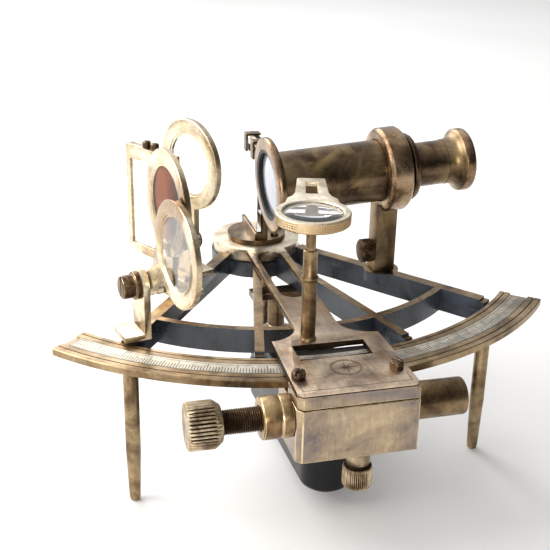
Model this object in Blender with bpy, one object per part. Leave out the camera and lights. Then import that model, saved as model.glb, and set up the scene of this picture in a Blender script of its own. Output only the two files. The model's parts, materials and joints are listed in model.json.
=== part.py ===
"""Nautical sextant, brass with a dark painted frame, standing on its three legs.

Metres, +Z up.  Every sub-part is its own closed object.  The design is laid out from the pivot of
the index arm: x to the right, -y along the arm towards the graduated limb, z = 0 on the limb's top.
The whole instrument is parented to one empty that puts the pivot above the tips of the legs.
"""
import math

import bmesh
import bpy
from mathutils import Vector

# ---------------------------------------------------------------- driving dimensions
GAP = 0.0003                 # play between touching pieces
TOE = 0.0705                 # limb top down to the tips of the legs
PIVOT_X = 0.00225            # pivot axis from the middle of the bounding box
PIVOT_Y = 0.0653

LIMB_OUTER = 0.135
LIMB_INNER = 0.1172
LIMB_THICK = 0.0028
LIMB_LEFT = math.radians(-50.2)
LIMB_RIGHT = math.radians(47.3)
SCALE_OUTER = 0.1295
SCALE_INNER = 0.1219
SCALE_DEEP = 0.0008

RIB_TOP = 0.0009
RIB_BOTTOM = -0.0092
HUB_RADIUS = 0.021
HUB_DISC = 0.0200            # the arm's round end over the hub
HUB_SEAT = -0.0022           # top of the frame's hub, under the arm's round end
MIRROR_BASE = 0.0135
ARM_WIDTH = 0.0050
STRUT_WIDTH = 0.0036
STRUT_SWEEP = math.radians(15.0)
ARM_SLOPE = math.radians(37.1)
ARM_START = 0.0092
ARM_END = 0.1161
RIB_STEP = 0.1138            # beyond this radius the ribs are cut down to pass under the vernier
RIB_TIP_TOP = 0.0
CROSS_INNER = 0.0925
CROSS_OUTER = 0.0956
CROSS_SWEEP = math.radians(41.3)

LEG_PLACE = (0.0751, -0.0895)
LEG_REAR = (0.0, -0.0155)
LEG_RADIUS = 0.0030

INDEX_ANGLE = math.radians(-2.1)
INDEX_BOTTOM = 0.0014
INDEX_TOP = 0.0036
INDEX_HALF = 0.0088
PLATE_BACK = 0.1090
PLATE_FRONT = 0.1510
PLATE_HALF = 0.0223
PLATE_SHIFT = 0.0008         # the end plate and its box sit a little to the right
WINDOW_BACK = 0.1135
WINDOW_FRONT = 0.1262
WINDOW_HALF = 0.0140

BOX_HALF = 0.0227
BOX_SHIFT = 0.0012
BOX_BACK = 0.1243
BOX_FRONT = 0.1503
BOX_TOP = -0.0035
BOX_BOTTOM = -0.0245
BOX_WALL = 0.0027
BRIDGE_BACK = 0.1362

TANGENT_Y = -0.1410
TANGENT_Z = -0.0095
TANGENT_RADIUS = 0.0046
KNOB_RADIUS = 0.0087
CLAMP_X = 0.0064
CLAMP_Y = -0.1370

MIRROR_SCREW = (0.0070, 0.0070)

LENS_POST = (-0.0065, -0.1098)
LENS_REACH = 0.0126          # rod to the middle of the lens
LENS_TURN = math.radians(-15.0)
LENS_HEIGHT = 0.0565

SCOPE_CENTRE = (0.0461, -0.0450, 0.0469)
SCOPE_TILT = math.radians(-3.5)
TUBE_RADIUS = 0.0132
DRAW_RADIUS = 0.0095
COLLAR_RADIUS = 0.0180

HORIZON_PLACE = (-0.0508, -0.0450)
HORIZON_TURN = math.radians(30.0)
HORIZON_LOW = 0.0130
HORIZON_HIGH = 0.0600
SHADE_PLACE = (-0.0690, -0.0840)
SHADE_TURN = math.radians(10.0)
SHADE_PIN_Z = 0.0215
SHADE_REACH = 0.0388         # pin to the middle of a horizon shade
SHADE_OUTER = 0.0195
SHADE_INNER = 0.0133
INDEX_SHADE_PLACE = (-0.0406, -0.0336)
INDEX_SHADE_TURN = math.radians(24.0)
INDEX_SHADE_PIN_Z = 0.0170

ROUND = 28                   # sides of an ordinary round piece
SMALL = 12                   # sides of a screw or a pin


# ---------------------------------------------------------------- helpers
def clear_scene():
    """Remove whatever objects the file holds."""
    for thing in list(bpy.data.objects):
        bpy.data.objects.remove(thing, do_unlink=True)


def make_material(name, colour, roughness, metallic, alpha=1.0):
    """One Principled BSDF material."""
    material = bpy.data.materials.new(name)
    material.use_nodes = True
    shader = material.node_tree.nodes["Principled BSDF"]
    shader.inputs["Base Color"].default_value = (*colour, 1.0)
    shader.inputs["Roughness"].default_value = roughness
    shader.inputs["Metallic"].default_value = metallic
    shader.inputs["Alpha"].default_value = alpha
    material.diffuse_color = (*colour, alpha)
    return material


FINISHES = {
    "brass": ((0.58, 0.42, 0.20), 0.32, 1.0),
    "dark_brass": ((0.30, 0.19, 0.10), 0.40, 1.0),
    "paint": ((0.030, 0.038, 0.055), 0.35, 0.0),
    "silver": ((0.62, 0.60, 0.54), 0.38, 1.0),
    "grip": ((0.012, 0.012, 0.013), 0.30, 0.0),
    "clear": ((0.85, 0.88, 0.88), 0.05, 0.0),
    "smoke": ((0.45, 0.43, 0.42), 0.06, 0.0),
    "amber": ((0.32, 0.10, 0.05), 0.06, 0.0),
    "mirror": ((0.85, 0.87, 0.88), 0.04, 1.0),
    "steel": ((0.50, 0.50, 0.50), 0.35, 1.0),
}


def finish(mesh_object, look, parent):
    """Give an object its own material, its parent and smooth round faces."""
    colour, roughness, metallic = FINISHES[look]
    mesh = mesh_object.data
    mesh.materials.clear()
    mesh.materials.append(make_material(mesh_object.name + "_finish", colour, roughness, metallic))
    mesh.shade_smooth()
    mesh.set_sharp_from_angle(angle=math.radians(35.0))
    mesh_object.parent = parent
    return mesh_object


def empty(name, location, parent=None, turn=0.0, tilt=0.0):
    """An axis or a local frame: turned about z, then tilted about its own y."""
    thing = bpy.data.objects.new(name, None)
    bpy.context.collection.objects.link(thing)
    thing.location = location
    thing.rotation_euler = (0.0, tilt, turn)
    thing.parent = parent
    return thing


def object_from(name, shape):
    """Turn a bmesh into a linked object with its faces pointing out."""
    bmesh.ops.recalc_face_normals(shape, faces=shape.faces)
    mesh = bpy.data.meshes.new(name)
    shape.to_mesh(mesh)
    shape.free()
    thing = bpy.data.objects.new(name, mesh)
    bpy.context.collection.objects.link(thing)
    return thing


def prism(name, outline, low, high, axis="Z"):
    """An outline drawn across the axis, extruded from low to high along it."""
    shape = bmesh.new()
    places = {
        "Z": lambda a, b: Vector((a, b, low)),
        "X": lambda a, b: Vector((low, a, b)),
    }[axis]
    steps = {"Z": (0, 0, 1), "X": (1, 0, 0)}[axis]
    base = shape.faces.new([shape.verts.new(places(a, b)) for a, b in outline])
    grown = bmesh.ops.extrude_face_region(shape, geom=[base])
    lifted = [part for part in grown["geom"] if isinstance(part, bmesh.types.BMVert)]
    bmesh.ops.translate(shape, verts=lifted, vec=Vector(steps) * (high - low))
    return object_from(name, shape)


def box(name, x, y, z):
    """A rectangular block from three (low, high) pairs."""
    outline = [(x[0], y[0]), (x[1], y[0]), (x[1], y[1]), (x[0], y[1])]
    return prism(name, outline, z[0], z[1])


def turned(name, profile, sides=ROUND, axis="Z", at=(0.0, 0.0, 0.0)):
    """Turn a profile of (radius, height) points; a closed ring profile makes a tube."""
    shape = bmesh.new()
    hollow = min(radius for radius, _ in profile) > 0.0
    rings = []
    for radius, height in profile:
        count = sides if radius > 0.0 else 1
        ring = []
        for index in range(count):
            angle = 2.0 * math.pi * index / count
            a = radius * math.cos(angle)
            b = radius * math.sin(angle)
            spot = {"Z": (a, b, height), "X": (height, a, b), "Y": (b, height, a)}[axis]
            ring.append(shape.verts.new(Vector(spot) + Vector(at)))
        rings.append(ring)
    pairs = list(zip(rings, rings[1:]))
    if hollow:
        pairs.append((rings[-1], rings[0]))
    for lower, upper in pairs:
        for index in range(sides):
            after = (index + 1) % sides
            corners = [lower[index % len(lower)], lower[after % len(lower)],
                       upper[after % len(upper)], upper[index % len(upper)]]
            unique = list(dict.fromkeys(corners))
            if len(unique) > 2:
                shape.faces.new(unique)
    return object_from(name, shape)


def rod(name, radius, low, high, sides=ROUND, axis="Z", at=(0.0, 0.0, 0.0)):
    """A plain cylinder."""
    return turned(name, [(0.0, low), (radius, low), (radius, high), (0.0, high)], sides, axis, at)


def tube(name, outer, inner, low, high, sides=ROUND, axis="Z", at=(0.0, 0.0, 0.0)):
    """A plain tube."""
    profile = [(inner, low), (outer, low), (outer, high), (inner, high)]
    return turned(name, profile, sides, axis, at)


def arc_bar(name, profile, start, end, steps):
    """Sweep a closed (radius, height) profile about the pivot, angles measured from -y."""
    shape = bmesh.new()
    rings = []
    for step in range(steps + 1):
        angle = start + (end - start) * step / steps
        ring = []
        for radius, height in profile:
            spot = (radius * math.sin(angle), -radius * math.cos(angle), height)
            ring.append(shape.verts.new(spot))
        rings.append(ring)
    for near, far in zip(rings, rings[1:]):
        for index in range(len(profile)):
            after = (index + 1) % len(profile)
            shape.faces.new((near[index], near[after], far[after], far[index]))
    shape.faces.new(rings[0])
    shape.faces.new(rings[-1])
    return object_from(name, shape)


def arc_points(centre, radius, start, end, steps):
    """Points on an arc, angles in degrees from +x."""
    points = []
    for step in range(steps + 1):
        angle = math.radians(start + (end - start) * step / steps)
        points.append((centre[0] + radius * math.cos(angle), centre[1] + radius * math.sin(angle)))
    return points


def combine(target, other, operation):
    """Boolean the target with a hidden helper."""
    modifier = target.modifiers.new(operation.lower(), "BOOLEAN")
    modifier.operation = operation
    modifier.solver = "EXACT"
    modifier.object = other
    other.hide_render = True
    other.display_type = "WIRE"
    return target


def join(target, *others):
    """Add solids to the target."""
    for other in others:
        combine(target, other, "UNION")
    return target


def cut(target, *others):
    """Take solids away from the target."""
    for other in others:
        combine(target, other, "DIFFERENCE")
    return target


def adopt(parent, *guides):
    """Parent hidden helpers with the piece that they shape."""
    for guide in guides:
        guide.parent = parent


def soften(target, width, segments=1, angle=40.0):
    """Bevel the sharp edges."""
    modifier = target.modifiers.new("bevel", "BEVEL")
    modifier.width = width
    modifier.segments = segments
    modifier.limit_method = "ANGLE"
    modifier.angle_limit = math.radians(angle)
    return target


def bar_between(name, start, end, width, low, high):
    """A straight bar of the given width between two points in plan."""
    along = (Vector(end) - Vector(start)).normalized()
    side = Vector((-along.y, along.x)) * width / 2.0
    outline = [Vector(start) - side, Vector(end) - side, Vector(end) + side, Vector(start) + side]
    return prism(name, [tuple(point) for point in outline], low, high)


def polar(radius, angle):
    """A point in plan at an angle from -y."""
    return (radius * math.sin(angle), -radius * math.cos(angle))


def arm_point(side, radius):
    """Where an outer arm's middle line reaches a radius from the pivot."""
    slope = math.tan(ARM_SLOPE)
    a = 1.0 + slope * slope
    b = 2.0 * ARM_START * slope
    c = ARM_START * ARM_START - radius * radius
    reach = (-b + math.sqrt(b * b - 4.0 * a * c)) / (2.0 * a)
    return (side * (ARM_START + slope * reach), -reach)


# ---------------------------------------------------------------- frame, limb, legs and handle
def make_frame(root):
    """The cast frame: hub, two outer arms, two struts and a concentric cross rib."""
    frame = rod("frame", HUB_RADIUS, RIB_BOTTOM, RIB_TOP, 48)
    extra = []
    for side, label in ((-1, "left"), (1, "right")):
        start = arm_point(side, HUB_RADIUS - 0.004)
        end = arm_point(side, ARM_END)
        extra.append(bar_between("guide_arm_" + label, start, end, ARM_WIDTH, RIB_BOTTOM, RIB_TOP))
        pad_start = arm_point(side, ARM_END - 0.007)
        pad_end = arm_point(side, ARM_END + 0.008)
        extra.append(bar_between("guide_pad_" + label, pad_start, pad_end, 0.008, -0.0062,
                                 -LIMB_THICK - GAP))
        leg = (side * LEG_PLACE[0], LEG_PLACE[1], 0.0)
        extra.append(rod("guide_boss_" + label, 0.0046, RIB_BOTTOM, -LIMB_THICK - GAP, 24, at=leg))
        sweep = side * STRUT_SWEEP
        extra.append(bar_between("guide_strut_" + label, polar(HUB_RADIUS - 0.003, sweep),
                                 polar(ARM_END, sweep), STRUT_WIDTH, RIB_BOTTOM, RIB_TOP))
        extra.append(bar_between("guide_shelf_" + label, polar(ARM_END - 0.006, sweep),
                                 polar(ARM_END + 0.007, sweep), 0.007, -0.0062,
                                 -LIMB_THICK - GAP))
    profile = [(CROSS_INNER, RIB_BOTTOM), (CROSS_OUTER, RIB_BOTTOM), (CROSS_OUTER, RIB_TOP),
               (CROSS_INNER, RIB_TOP)]
    extra.append(arc_bar("guide_cross", profile, -CROSS_SWEEP, CROSS_SWEEP, 28))
    post = (SCOPE_CENTRE[0] - 0.0010, SCOPE_CENTRE[1], 0.0)
    extra.append(rod("guide_post_pad", 0.0078, -0.0040, RIB_TOP, 24, at=post))
    join(frame, *extra)
    holes = [rod("cutter_hub", 0.0053, -0.02, 0.02, 24),
             rod("cutter_hub_seat", HUB_DISC + 0.0006, HUB_SEAT, 0.01, 48),
             rod("cutter_leg_rear", 0.0018, -0.02, -0.0040, SMALL, at=(*LEG_REAR, 0.0))]
    step = [(RIB_STEP, RIB_TIP_TOP), (LIMB_OUTER, RIB_TIP_TOP), (LIMB_OUTER, 0.01), (RIB_STEP, 0.01)]
    holes.append(arc_bar("cutter_rib_step", step, LIMB_LEFT, -LIMB_LEFT, 28))
    for side, label in ((-1, "left"), (1, "right")):
        leg = (side * LEG_PLACE[0], LEG_PLACE[1], 0.0)
        holes.append(rod("cutter_leg_" + label, 0.0018, -0.02, -0.0045, SMALL, at=leg))
    cut(frame, *holes)
    adopt(root, *extra, *holes)
    finish(frame, "paint", root)


def make_limb(root):
    """The graduated arc with a shallow channel, and the silvered scale strip set in it."""
    channel = -SCALE_DEEP
    profile = [(LIMB_INNER, -LIMB_THICK), (LIMB_OUTER, -LIMB_THICK), (LIMB_OUTER, 0.0),
               (SCALE_OUTER, 0.0), (SCALE_OUTER, channel), (SCALE_INNER, channel),
               (SCALE_INNER, 0.0), (LIMB_INNER, 0.0)]
    limb = arc_bar("limb", profile, LIMB_LEFT, LIMB_RIGHT, 32)
    finish(limb, "brass", root)
    margin = math.radians(1.2)
    strip = [(SCALE_INNER + GAP, channel + GAP), (SCALE_OUTER - GAP, channel + GAP),
             (SCALE_OUTER - GAP, 0.0), (SCALE_INNER + GAP, 0.0)]
    finish(arc_bar("scale_strip", strip, LIMB_LEFT + margin, LIMB_RIGHT - margin, 32), "silver", root)


def make_legs(root):
    """Three turned legs, each with a spigot that enters the frame."""
    shoulder = RIB_BOTTOM - GAP
    profile = [(0.0, -TOE), (0.0017, -TOE), (0.0021, -TOE + 0.0008), (LEG_RADIUS, -0.046),
               (LEG_RADIUS, shoulder), (0.0015, shoulder), (0.0015, -0.0048), (0.0, -0.0048)]
    places = {"leg_left": (-LEG_PLACE[0], LEG_PLACE[1]), "leg_right": LEG_PLACE,
              "leg_rear": LEG_REAR}
    for name, place in places.items():
        leg = turned(name, profile, 20)
        leg.location = (*place, 0.0)
        finish(leg, "brass", root)


def make_handle(root):
    """A black grip under the frame on two brass stand-offs."""
    half = 0.0108
    front = -0.1170
    back = -0.0225
    top = -0.0300
    bottom = -0.0635
    outline = arc_points((0.0, front + half), half, 180.0, 360.0, 14)
    outline += arc_points((0.0, back - half), half, 0.0, 180.0, 14)
    grip = soften(prism("handle_grip", outline, bottom, top), 0.0018, 2)
    finish(grip, "grip", root)
    seat = top + GAP
    hung = RIB_BOTTOM - GAP
    front_post = turned("handle_post_front", [(0.0, seat), (0.0062, seat), (0.0062, seat + 0.002),
                                              (0.0038, seat + 0.003), (0.0038, hung - 0.002),
                                              (0.0060, hung - 0.002), (0.0060, hung), (0.0, hung)],
                        24, at=(0.0, -0.0940, 0.0))
    finish(front_post, "dark_brass", root)
    rear_post = turned("handle_post_rear", [(0.0, seat), (0.0062, seat), (0.0062, seat + 0.002),
                                            (0.0038, seat + 0.003), (0.0038, hung), (0.0, hung)],
                       24, at=(0.0, -0.0345, 0.0))
    bar = box("guide_handle_bar", (-0.0120, 0.0120), (-0.0385, -0.0305), (hung - 0.0030, hung))
    join(rear_post, bar)
    adopt(root, bar)
    finish(rear_post, "dark_brass", root)


# ---------------------------------------------------------------- index arm and its end plate
def rounded_plate_outline():
    """The index arm in plan: hub, strip, concave flares and the wide end plate."""
    hub = HUB_DISC
    side = math.degrees(math.asin(INDEX_HALF / hub))
    outline = arc_points((0.0, 0.0), hub, side - 90.0, 270.0 - side, 28)
    neck = 0.0980
    flare = PLATE_BACK - neck
    corner = 0.0025
    sides = {}
    for hand in (-1, 1):
        spread = PLATE_HALF + hand * PLATE_SHIFT - 0.0012 - INDEX_HALF
        edge = []
        for step in range(7):
            angle = math.radians(90.0 * step / 6)
            edge.append((hand * (INDEX_HALF + spread - spread * math.cos(angle)),
                         -neck - flare * math.sin(angle)))
        middle = PLATE_SHIFT + hand * (PLATE_HALF - corner)
        start = 180.0 if hand < 0 else 360.0
        edge += arc_points((middle, -PLATE_FRONT + corner), corner, start, 270.0, 4)
        sides[hand] = edge
    return outline + sides[-1] + sides[1][::-1]


def make_index_arm(arm):
    """The arm with its lengthwise opening, the vernier window and its screw holes."""
    plate = prism("index_arm", rounded_plate_outline(), INDEX_BOTTOM, INDEX_TOP)
    boss = rod("guide_arm_boss", HUB_DISC, HUB_SEAT + GAP, INDEX_TOP, 48)
    join(plate, boss)
    boss.parent = arm
    slot = arc_points((0.0, -0.0270), 0.0058, 0.0, 180.0, 8)
    slot += arc_points((0.0, -0.0660), 0.0060, 180.0, 360.0, 8)
    cutters = [prism("cutter_slot", slot, -0.01, 0.01),
               box("cutter_window", (-WINDOW_HALF, WINDOW_HALF), (-WINDOW_FRONT, -WINDOW_BACK),
                   (-0.01, 0.01)),
               rod("cutter_shaft", 0.0035, -0.01, 0.01, 24)]
    for side in (-1, 1):
        cutters.append(rod("cutter_screw_%d" % side, 0.0015, -0.01, 0.01, SMALL,
                           at=(side * 0.0183, -0.1390, 0.0)))
        cutters.append(rod("cutter_base_%d" % side, 0.0010, -0.01, 0.01, 12,
                           at=(MIRROR_SCREW[0], side * MIRROR_SCREW[1], 0.0)))
    cut(plate, *cutters)
    adopt(arm, *cutters)
    finish(plate, "brass", arm)


def make_pivot(root, arm):
    """Bush in the hub, shaft through it and nut underneath."""
    bush = tube("pivot_bush", 0.0050, 0.0035, RIB_BOTTOM, HUB_SEAT, 24)
    finish(bush, "brass", root)
    shaft = rod("pivot_shaft", 0.0032, -0.0138, INDEX_TOP, 24)
    finish(shaft, "steel", arm)
    nut = rod("pivot_nut", 0.0060, -0.0135, RIB_BOTTOM - GAP, 6)
    nut_bore = rod("cutter_nut", 0.0035, -0.02, 0.0, 24)
    cut(nut, nut_bore)
    adopt(arm, nut_bore)
    finish(nut, "brass", arm)


def make_vernier(arm):
    """The silvered vernier under the window, its front edge following the scale."""
    reach = 0.1216
    sweep = math.asin(0.0170 / reach)
    front = []
    for step in range(9):
        angle = -sweep + 2.0 * sweep * step / 8
        front.append(polar(reach, angle))
    outline = [(0.0170, -0.1145), (-0.0170, -0.1145)] + front
    finish(prism("vernier_plate", outline, 0.0003, INDEX_BOTTOM - GAP), "silver", arm)


def slotted_screw(name, head, height, shank, depth, parent, look="dark_brass", sides=SMALL):
    """A cheese-head screw along +z with its head seated at z = 0."""
    screw = turned(name, [(0.0, -depth), (shank, -depth), (shank, 0.0), (head, 0.0),
                          (head, height * 0.85), (head * 0.88, height), (0.0, height)], sides)
    slot = box("cutter_" + name, (-0.00035, 0.00035), (-2.0 * head, 2.0 * head),
               (height * 0.6, height * 2.0))
    cut(screw, slot)
    slot.parent = screw
    finish(screw, look, parent)
    return screw


def make_clamp_box(arm):
    """The housing under the end plate, the bridge between them and the screws through both."""
    left = BOX_SHIFT - BOX_HALF
    right = BOX_SHIFT + BOX_HALF
    chamfer = 0.0021
    outline = [(left, -BOX_BACK), (left, -BOX_FRONT + chamfer), (left + chamfer, -BOX_FRONT),
               (right, -BOX_FRONT), (right, -BOX_BACK)]
    body = prism("clamp_box", outline, BOX_BOTTOM, BOX_TOP)
    cavity = box("cutter_cavity", (left + BOX_WALL, right - BOX_WALL),
                 (BOX_WALL - BOX_FRONT, -BOX_WALL - BOX_BACK), (BOX_BOTTOM + BOX_WALL, 0.01))
    bore = rod("cutter_tangent_bore", TANGENT_RADIUS + GAP, -0.05, 0.05, 24, "X",
               (0.0, TANGENT_Y, TANGENT_Z))
    reach = 0.0064
    slot = arc_points((CLAMP_X - reach + 0.0036, CLAMP_Y), 0.0036, 90.0, 270.0, 8)
    slot += arc_points((CLAMP_X + reach - 0.0036, CLAMP_Y), 0.0036, 270.0, 450.0, 8)
    floor_slot = prism("cutter_floor_slot", slot, -0.04, -0.015)
    cut(body, cavity, bore, floor_slot)
    adopt(arm, cavity, bore, floor_slot)
    finish(body, "brass", arm)

    left += 0.0004
    right -= 0.0004
    bridge_outline = [(left, -BRIDGE_BACK), (left, -BOX_FRONT + chamfer),
                      (left + chamfer, -BOX_FRONT), (right, -BOX_FRONT), (right, -BRIDGE_BACK)]
    bridge = prism("clamp_bridge", bridge_outline, BOX_TOP + GAP, INDEX_BOTTOM - GAP)
    holes = []
    for side, label in ((-1, "left"), (1, "right")):
        place = (side * 0.0183, -0.1390, 0.0)
        holes.append(rod("cutter_bridge_" + label, 0.0015, -0.02, 0.02, SMALL, at=place))
        screw = slotted_screw("end_screw_" + label, 0.0026, 0.0030, 0.0012, 0.0062, arm)
        screw.location = (place[0], place[1], INDEX_TOP + GAP)
        screw.rotation_euler = (0.0, 0.0, math.radians(35.0 * side))
    cut(bridge, *holes)
    adopt(arm, *holes)
    finish(bridge, "brass", arm)


def make_tangent_gear(arm, shoe_axis, screw_axis):
    """Tangent screw, its boss, the shoe that it pushes and the sprung plunger opposite."""
    line = (0.0, TANGENT_Y, TANGENT_Z)
    left = BOX_SHIFT - BOX_HALF - GAP
    right = BOX_SHIFT + BOX_HALF + GAP
    boss = turned("tangent_boss", [(TANGENT_RADIUS + GAP, -0.0328), (0.0072, -0.0328),
                                   (0.0078, -0.0322), (0.0078, left),
                                   (TANGENT_RADIUS + GAP, left)], ROUND, "X", line)
    finish(boss, "brass", arm)
    barrel = turned("spring_barrel", [(0.0, 0.0415), (0.0052, 0.0415), (0.0052, right),
                                      (0.0070, right), (0.0070, 0.0436), (0.0066, 0.0440),
                                      (0.0, 0.0440)], ROUND, "X", line)
    finish(barrel, "brass", arm)
    local = (0.0, 0.0, 0.0)
    plunger = turned("spring_plunger", [(0.0, 0.0123), (0.0030, 0.0123), (0.0030, 0.0240),
                                        (0.0046, 0.0240), (0.0046, 0.0268), (0.0, 0.0268)],
                     24, "X", local)
    finish(plunger, "steel", shoe_axis)
    shoe = box("clamp_shoe", (-0.0105, 0.0120), (-0.0050, 0.0130), (-0.0115, 0.0015))
    shank_hole = rod("cutter_shoe", 0.0035, -0.03, 0.03, 20,
                     at=(CLAMP_X, CLAMP_Y - TANGENT_Y, 0.0))
    plunger_seat = rod("cutter_plunger_seat", 0.0034, 0.0118, 0.02, 20, "X", local)
    cut(shoe, shank_hole, plunger_seat)
    adopt(shoe_axis, shank_hole, plunger_seat)
    finish(shoe, "brass", shoe_axis)
    screw = turned("tangent_screw", [(0.0, -0.0463), (TANGENT_RADIUS, -0.0463),
                                     (TANGENT_RADIUS, -0.0150), (0.0028, -0.0140),
                                     (0.0028, -0.0108), (0.0, -0.0108)], 24, "X", local)
    finish(screw, "dark_brass", screw_axis)
    knob = turned("tangent_knob", [(0.0, -0.0590), (0.0082, -0.0590), (KNOB_RADIUS, -0.0585),
                                   (KNOB_RADIUS, -0.0492), (0.0066, -0.0466), (0.0, -0.0466)],
                  ROUND, "X", local)
    finish(knob, "brass", screw_axis)


def make_return_spring(arm):
    """The coil spring inside the barrel: a square wire wound on a helix along x."""
    start = 0.0302
    length = 0.0108
    turns = 5
    coil = 0.0040
    wire = 0.0004
    steps = turns * 12
    shape = bmesh.new()
    rings = []
    for index in range(steps + 1):
        angle = 2.0 * math.pi * turns * index / steps
        x = start + length * index / steps
        ring = []
        for reach, lift in ((-wire, -wire), (wire, -wire), (wire, wire), (-wire, wire)):
            radius = coil + reach
            ring.append(shape.verts.new((x + lift, radius * math.cos(angle), radius * math.sin(angle))))
        rings.append(ring)
    for near, far in zip(rings, rings[1:]):
        for index in range(4):
            after = (index + 1) % 4
            shape.faces.new((near[index], near[after], far[after], far[index]))
    shape.faces.new(rings[0])
    shape.faces.new(rings[-1])
    spring = object_from("return_spring", shape)
    spring.location = (0.0, TANGENT_Y, TANGENT_Z)
    finish(spring, "steel", arm)


def make_clamp_screw(pad_axis, turn_axis):
    """The pad that grips the limb, with the knurled screw that lifts it."""
    pad = box("clamp_pad", (-0.0080, 0.0050), (-0.0040, 0.0085), (0.0, 0.0037))
    finish(soften(pad, 0.0004), "brass", pad_axis)
    screw = turned("clamp_screw", [(0.0, -0.0375), (0.0048, -0.0375), (0.0057, -0.0367),
                                   (0.0057, -0.0289), (0.0046, -0.0279), (0.0046, -0.0180),
                                   (0.0032, -0.0174), (0.0032, -0.0003), (0.0, -0.0003)], 24)
    finish(screw, "brass", turn_axis)


def make_magnifier(arm, slide_axis, swing_axis):
    """Reading magnifier: post on the arm, sliding rod, slotted holder and lens."""
    foot = INDEX_TOP + GAP
    post = turned("magnifier_post", [(0.0, foot), (0.0042, foot), (0.0042, foot + 0.0014),
                                     (0.0032, foot + 0.0022), (0.0031, 0.0280), (0.0035, 0.0284),
                                     (0.0035, 0.0294), (0.0030, 0.0298), (0.0029, 0.0392),
                                     (0.0026, 0.0400), (0.0022, 0.0400), (0.0022, 0.0140),
                                     (0.0, 0.0140)], 24)
    post.location = (*LENS_POST, 0.0)
    finish(post, "brass", arm)
    slide = rod("magnifier_rod", 0.0019, 0.0260, LENS_HEIGHT - GAP, 20)
    finish(slide, "dark_brass", slide_axis)
    centre = (0.0, -LENS_REACH)
    low = LENS_HEIGHT
    high = LENS_HEIGHT + 0.0030
    holder = tube("magnifier_holder", 0.0134, 0.0108, low, high, 36, at=(*centre, 0.0))
    half = 0.0060
    tab = arc_points(centre, 0.0121, 150.0, 30.0, 12)
    tab += [(half + 0.0016, 0.0035), (half, 0.0065), (half - 0.0006, 0.0235),
            (half - 0.0016, 0.0245), (-half + 0.0016, 0.0245), (-half + 0.0006, 0.0235),
            (-half, 0.0065), (-half - 0.0016, 0.0035)]
    arm_tab = prism("guide_tab", tab, high - 0.0019, high - 0.0002)
    opening = box("cutter_tab_slot", (-0.0022, 0.0022), (0.0065, 0.0195), (0.0, 0.1))
    join(holder, arm_tab)
    cut(holder, opening)
    adopt(swing_axis, arm_tab, opening)
    finish(holder, "brass", swing_axis)
    lens = turned("magnifier_lens", [(0.0, low + 0.0004), (0.0060, low + 0.0006),
                                     (0.0105, low + 0.0012), (0.0105, high - 0.0012),
                                     (0.0060, high - 0.0006), (0.0, high - 0.0004)], ROUND,
                  at=(*centre, 0.0))
    finish(lens, "clear", swing_axis)


def make_index_mirror(arm):
    """Upright mirror over the pivot, standing on a screwed round base."""
    base_low = INDEX_TOP + GAP
    base_high = base_low + 0.0020
    frame = rod("index_mirror_frame", MIRROR_BASE, base_low, base_high, 40)
    upright = box("guide_upright", (0.0, 0.0024), (-0.0120, 0.0150), (base_low, 0.0500))
    ledge = box("guide_ledge", (-0.0036, 0.0005), (-0.0120, 0.0150), (base_low, 0.0090))
    join(frame, upright, ledge)
    cutters = []
    for side, label in ((-1, "front"), (1, "back")):
        place = (MIRROR_SCREW[0], side * MIRROR_SCREW[1], 0.0)
        cutters.append(rod("cutter_mirror_" + label, 0.0010, 0.0, 0.02, 12, at=place))
        screw = slotted_screw("mirror_screw_" + label, 0.0018, 0.0014, 0.0007, 0.0040, arm, sides=12)
        screw.location = (place[0], place[1], base_high + GAP)
    cut(frame, *cutters)
    adopt(arm, upright, ledge, *cutters)
    finish(frame, "brass", arm)
    glass = box("index_mirror", (-0.0027, -GAP), (-0.0112, 0.0142), (0.0093, 0.0470))
    finish(glass, "mirror", arm)
    for label, y in (("front", -0.0050), ("back", 0.0080)):
        clip = box("mirror_clip_" + label, (-0.0040, -0.0030), (y - 0.0022, y + 0.0022),
                   (0.0430, 0.0510))
        over = box("guide_clip_" + label, (-0.0040, 0.0030), (y - 0.0022, y + 0.0022),
                   (0.0503, 0.0513))
        join(clip, over)
        over.parent = arm
        finish(clip, "dark_brass", arm)


# ---------------------------------------------------------------- horizon glass and shades
def make_horizon_glass(root):
    """Horizon glass: an upright rectangular frame on a screwed base, with one pane in it."""
    axis = empty("horizon_axis", (*HORIZON_PLACE, 0.0), root, HORIZON_TURN)
    foot = RIB_TOP + GAP
    thick = (-0.0018, 0.0018)
    near = -0.0060
    far = 0.0232
    frame = box("horizon_frame", thick, (near, far), (HORIZON_LOW, HORIZON_HIGH))
    stem = box("guide_stem", thick, (-0.0055, 0.0065), (foot + 0.0020, HORIZON_LOW + 0.0010))
    base = box("guide_base", (-0.0055, 0.0060), (-0.0150, 0.0070), (foot, foot + 0.0024))
    pane = ((near + 0.0022, far - 0.0018), (HORIZON_LOW + 0.0030, HORIZON_HIGH - 0.0050))
    window = box("cutter_pane", (-0.01, 0.01), *pane)
    join(frame, stem, base)
    cut(frame, window)
    adopt(axis, stem, base, window)
    finish(frame, "brass", axis)
    glass = box("horizon_mirror", (-0.0010, 0.0010), (pane[0][0] + GAP, pane[0][1] - GAP),
                (pane[1][0] + GAP, pane[1][1] - GAP))
    finish(glass, "mirror", axis)
    for label, y in (("far", 0.0120), ("near", 0.0070)):
        screw = slotted_screw("horizon_screw_" + label, 0.0018, 0.0028, 0.0, 0.0, axis, sides=12)
        screw.location = (0.0, y, HORIZON_HIGH + GAP)


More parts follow.
